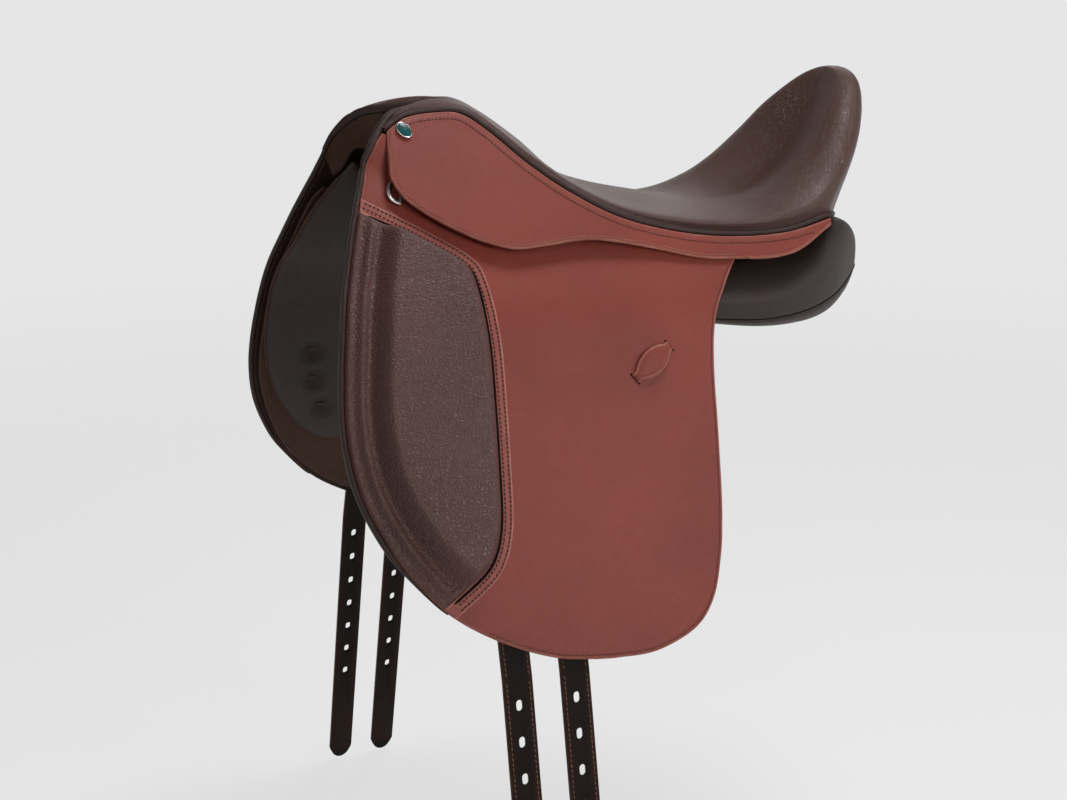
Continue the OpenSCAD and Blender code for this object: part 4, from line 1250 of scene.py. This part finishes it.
# Materials of the frame's own pieces
STEEL_PAIRS = ["tree_spring", "stirrup_bar", "bar_rivets", "stirrup_catch", "dee_ring"]
CAD_LOOKS = {"head_plate": STEEL_LOOK, "head_rivets": STEEL_LOOK, "tree_frame": TREE_LOOK}
for label in SIDES:
    CAD_LOOKS[f"dee_chape_{label}"] = FLAP_LOOK
    for name in STEEL_PAIRS:
        CAD_LOOKS[f"{name}_{label}"] = STEEL_LOOK
for name, look in CAD_LOOKS.items():
    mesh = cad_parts[name].data
    mesh.materials.clear()
    mesh.materials.append(look)

# Camera at the photograph's angle, in metres
CAMERA_AT = Vector((-0.6652, -1.3642, 0.2522))
CAMERA_TURN = math.radians(-22.293)
CAMERA_TILT = math.radians(13.863)
CAMERA_LENS = 55.52
SENSOR_W = 36


def aim(obj, place, way):
    obj.location = place
    obj.rotation_mode = "QUATERNION"
    obj.rotation_quaternion = way.to_track_quat("-Z", "Y")


def make_camera():
    data = bpy.data.cameras.new("camera")
    data.lens = CAMERA_LENS
    data.sensor_width = SENSOR_W
    camera = show("camera", data)
    flat = math.cos(CAMERA_TILT)
    back = Vector((math.sin(CAMERA_TURN) * flat, -math.cos(CAMERA_TURN) * flat, math.sin(CAMERA_TILT)))
    aim(camera, CAMERA_AT, -back)
    bpy.context.scene.camera = camera


# Soft studio lights: place, target, size in metres and power in watts
LIGHTS = {
    "key": ((0.42, -1.9, 0.4), (-0.1, -0.1, -0.08), 0.8, 16.0),
    "top": ((0.3, -0.2, 1.9), (0.0, -0.08, 0.05), 0.7, 32.0),
    "left": ((-1.1, -1.5, 1.0), (-0.3, -0.15, 0.0), 0.4, 3.5),
    "right_side": ((1.6, -0.9, 0.6), (0.1, -0.1, 0.03), 0.8, 5.0),
    "rear": ((0.93, 1.25, 0.9), (-0.05, 0.0, 0.08), 1.0, 2.2),
}


def make_light(name, place, target, size, power):
    data = bpy.data.lights.new(name, "AREA")
    data.shape = "DISK"
    data.size = size
    data.energy = power
    aim(show(name, data), place, Vector(target) - Vector(place))


PALE = 0.79
WORLD_LIGHT = 0.14
CEILING = 0.06
CEILING_RISE = (0.12, 0.45)
FLOOR_HALF = 14.0
FLOOR_DROP = 0.004
GLOW_REACH = (0.8, 4.0)
GLOW_NEAR = 0.8
GLOW_FAR = 1.0
NEAR_STRENGTH = 1.06
FAR_STRENGTH = 1.0


def pale_rays(tree):
    """1 for rays from the camera, mirrors and clear pieces, so that these see the pale ground."""
    rays = add(tree, "LightPath").outputs
    seen = maths(tree, "MAXIMUM", rays["Is Camera Ray"], rays["Is Glossy Ray"])
    return maths(tree, "MAXIMUM", seen, rays["Is Transmission Ray"])


def make_world():
    """A pale horizon under a darker ceiling."""
    world = bpy.data.worlds.new("studio")
    world.use_nodes = True
    bpy.context.scene.world = world
    tree = world.node_tree
    way = add(tree, "TexCoord").outputs["Generated"]
    rise = add(tree, "SeparateXYZ", {0: way}).outputs["Z"]
    seen = ranged(tree, rise, *CEILING_RISE, PALE, CEILING, interpolation_type="SMOOTHSTEP")
    strength = ranged(tree, pale_rays(tree), 0.0, 1.0, WORLD_LIGHT, seen)
    feed(tree, tree.nodes["Background"], {"Color": (1, 1, 1, 1), "Strength": strength})


def make_floor():
    level = cad_low.z - FLOOR_DROP
    corners = [(x * FLOOR_HALF, y * FLOOR_HALF, level) for x, y in ((-1, -1), (1, -1), (1, 1), (-1, 1))]
    mesh = bpy.data.meshes.new("floor")
    mesh.from_pydata(corners, [], [[0, 1, 2, 3]])
    look = bpy.data.materials.new("pale floor")
    look.use_nodes = True
    tree = look.node_tree
    shader = tree.nodes["Principled BSDF"]
    pale = (PALE, PALE, PALE, 1)
    feed(tree, shader, {"Base Color": pale, "Roughness": 0.9, "Specular IOR Level": 0.0})
    far = add(tree, "VectorMath", {0: place_in(tree)}, operation="LENGTH").outputs["Value"]
    share = ranged(tree, far, *GLOW_REACH, GLOW_NEAR, GLOW_FAR, interpolation_type="SMOOTHSTEP")
    strength = ranged(tree, far, *GLOW_REACH, NEAR_STRENGTH, FAR_STRENGTH, interpolation_type="SMOOTHSTEP")
    glow = add(tree, "Emission", {"Color": pale, "Strength": strength}).outputs[0]
    seen = maths(tree, "MULTIPLY", pale_rays(tree), share)
    surface = add(tree, "MixShader", {0: seen, 1: shader.outputs[0], 2: glow}).outputs[0]
    feed(tree, tree.nodes["Material Output"], {"Surface": surface})
    mesh.materials.append(look)
    floor = show("floor", mesh)


make_camera()
for name, values in LIGHTS.items():
    make_light(name, *values)
make_world()
make_floor()
bpy.context.scene.view_settings.view_transform = "Standard"
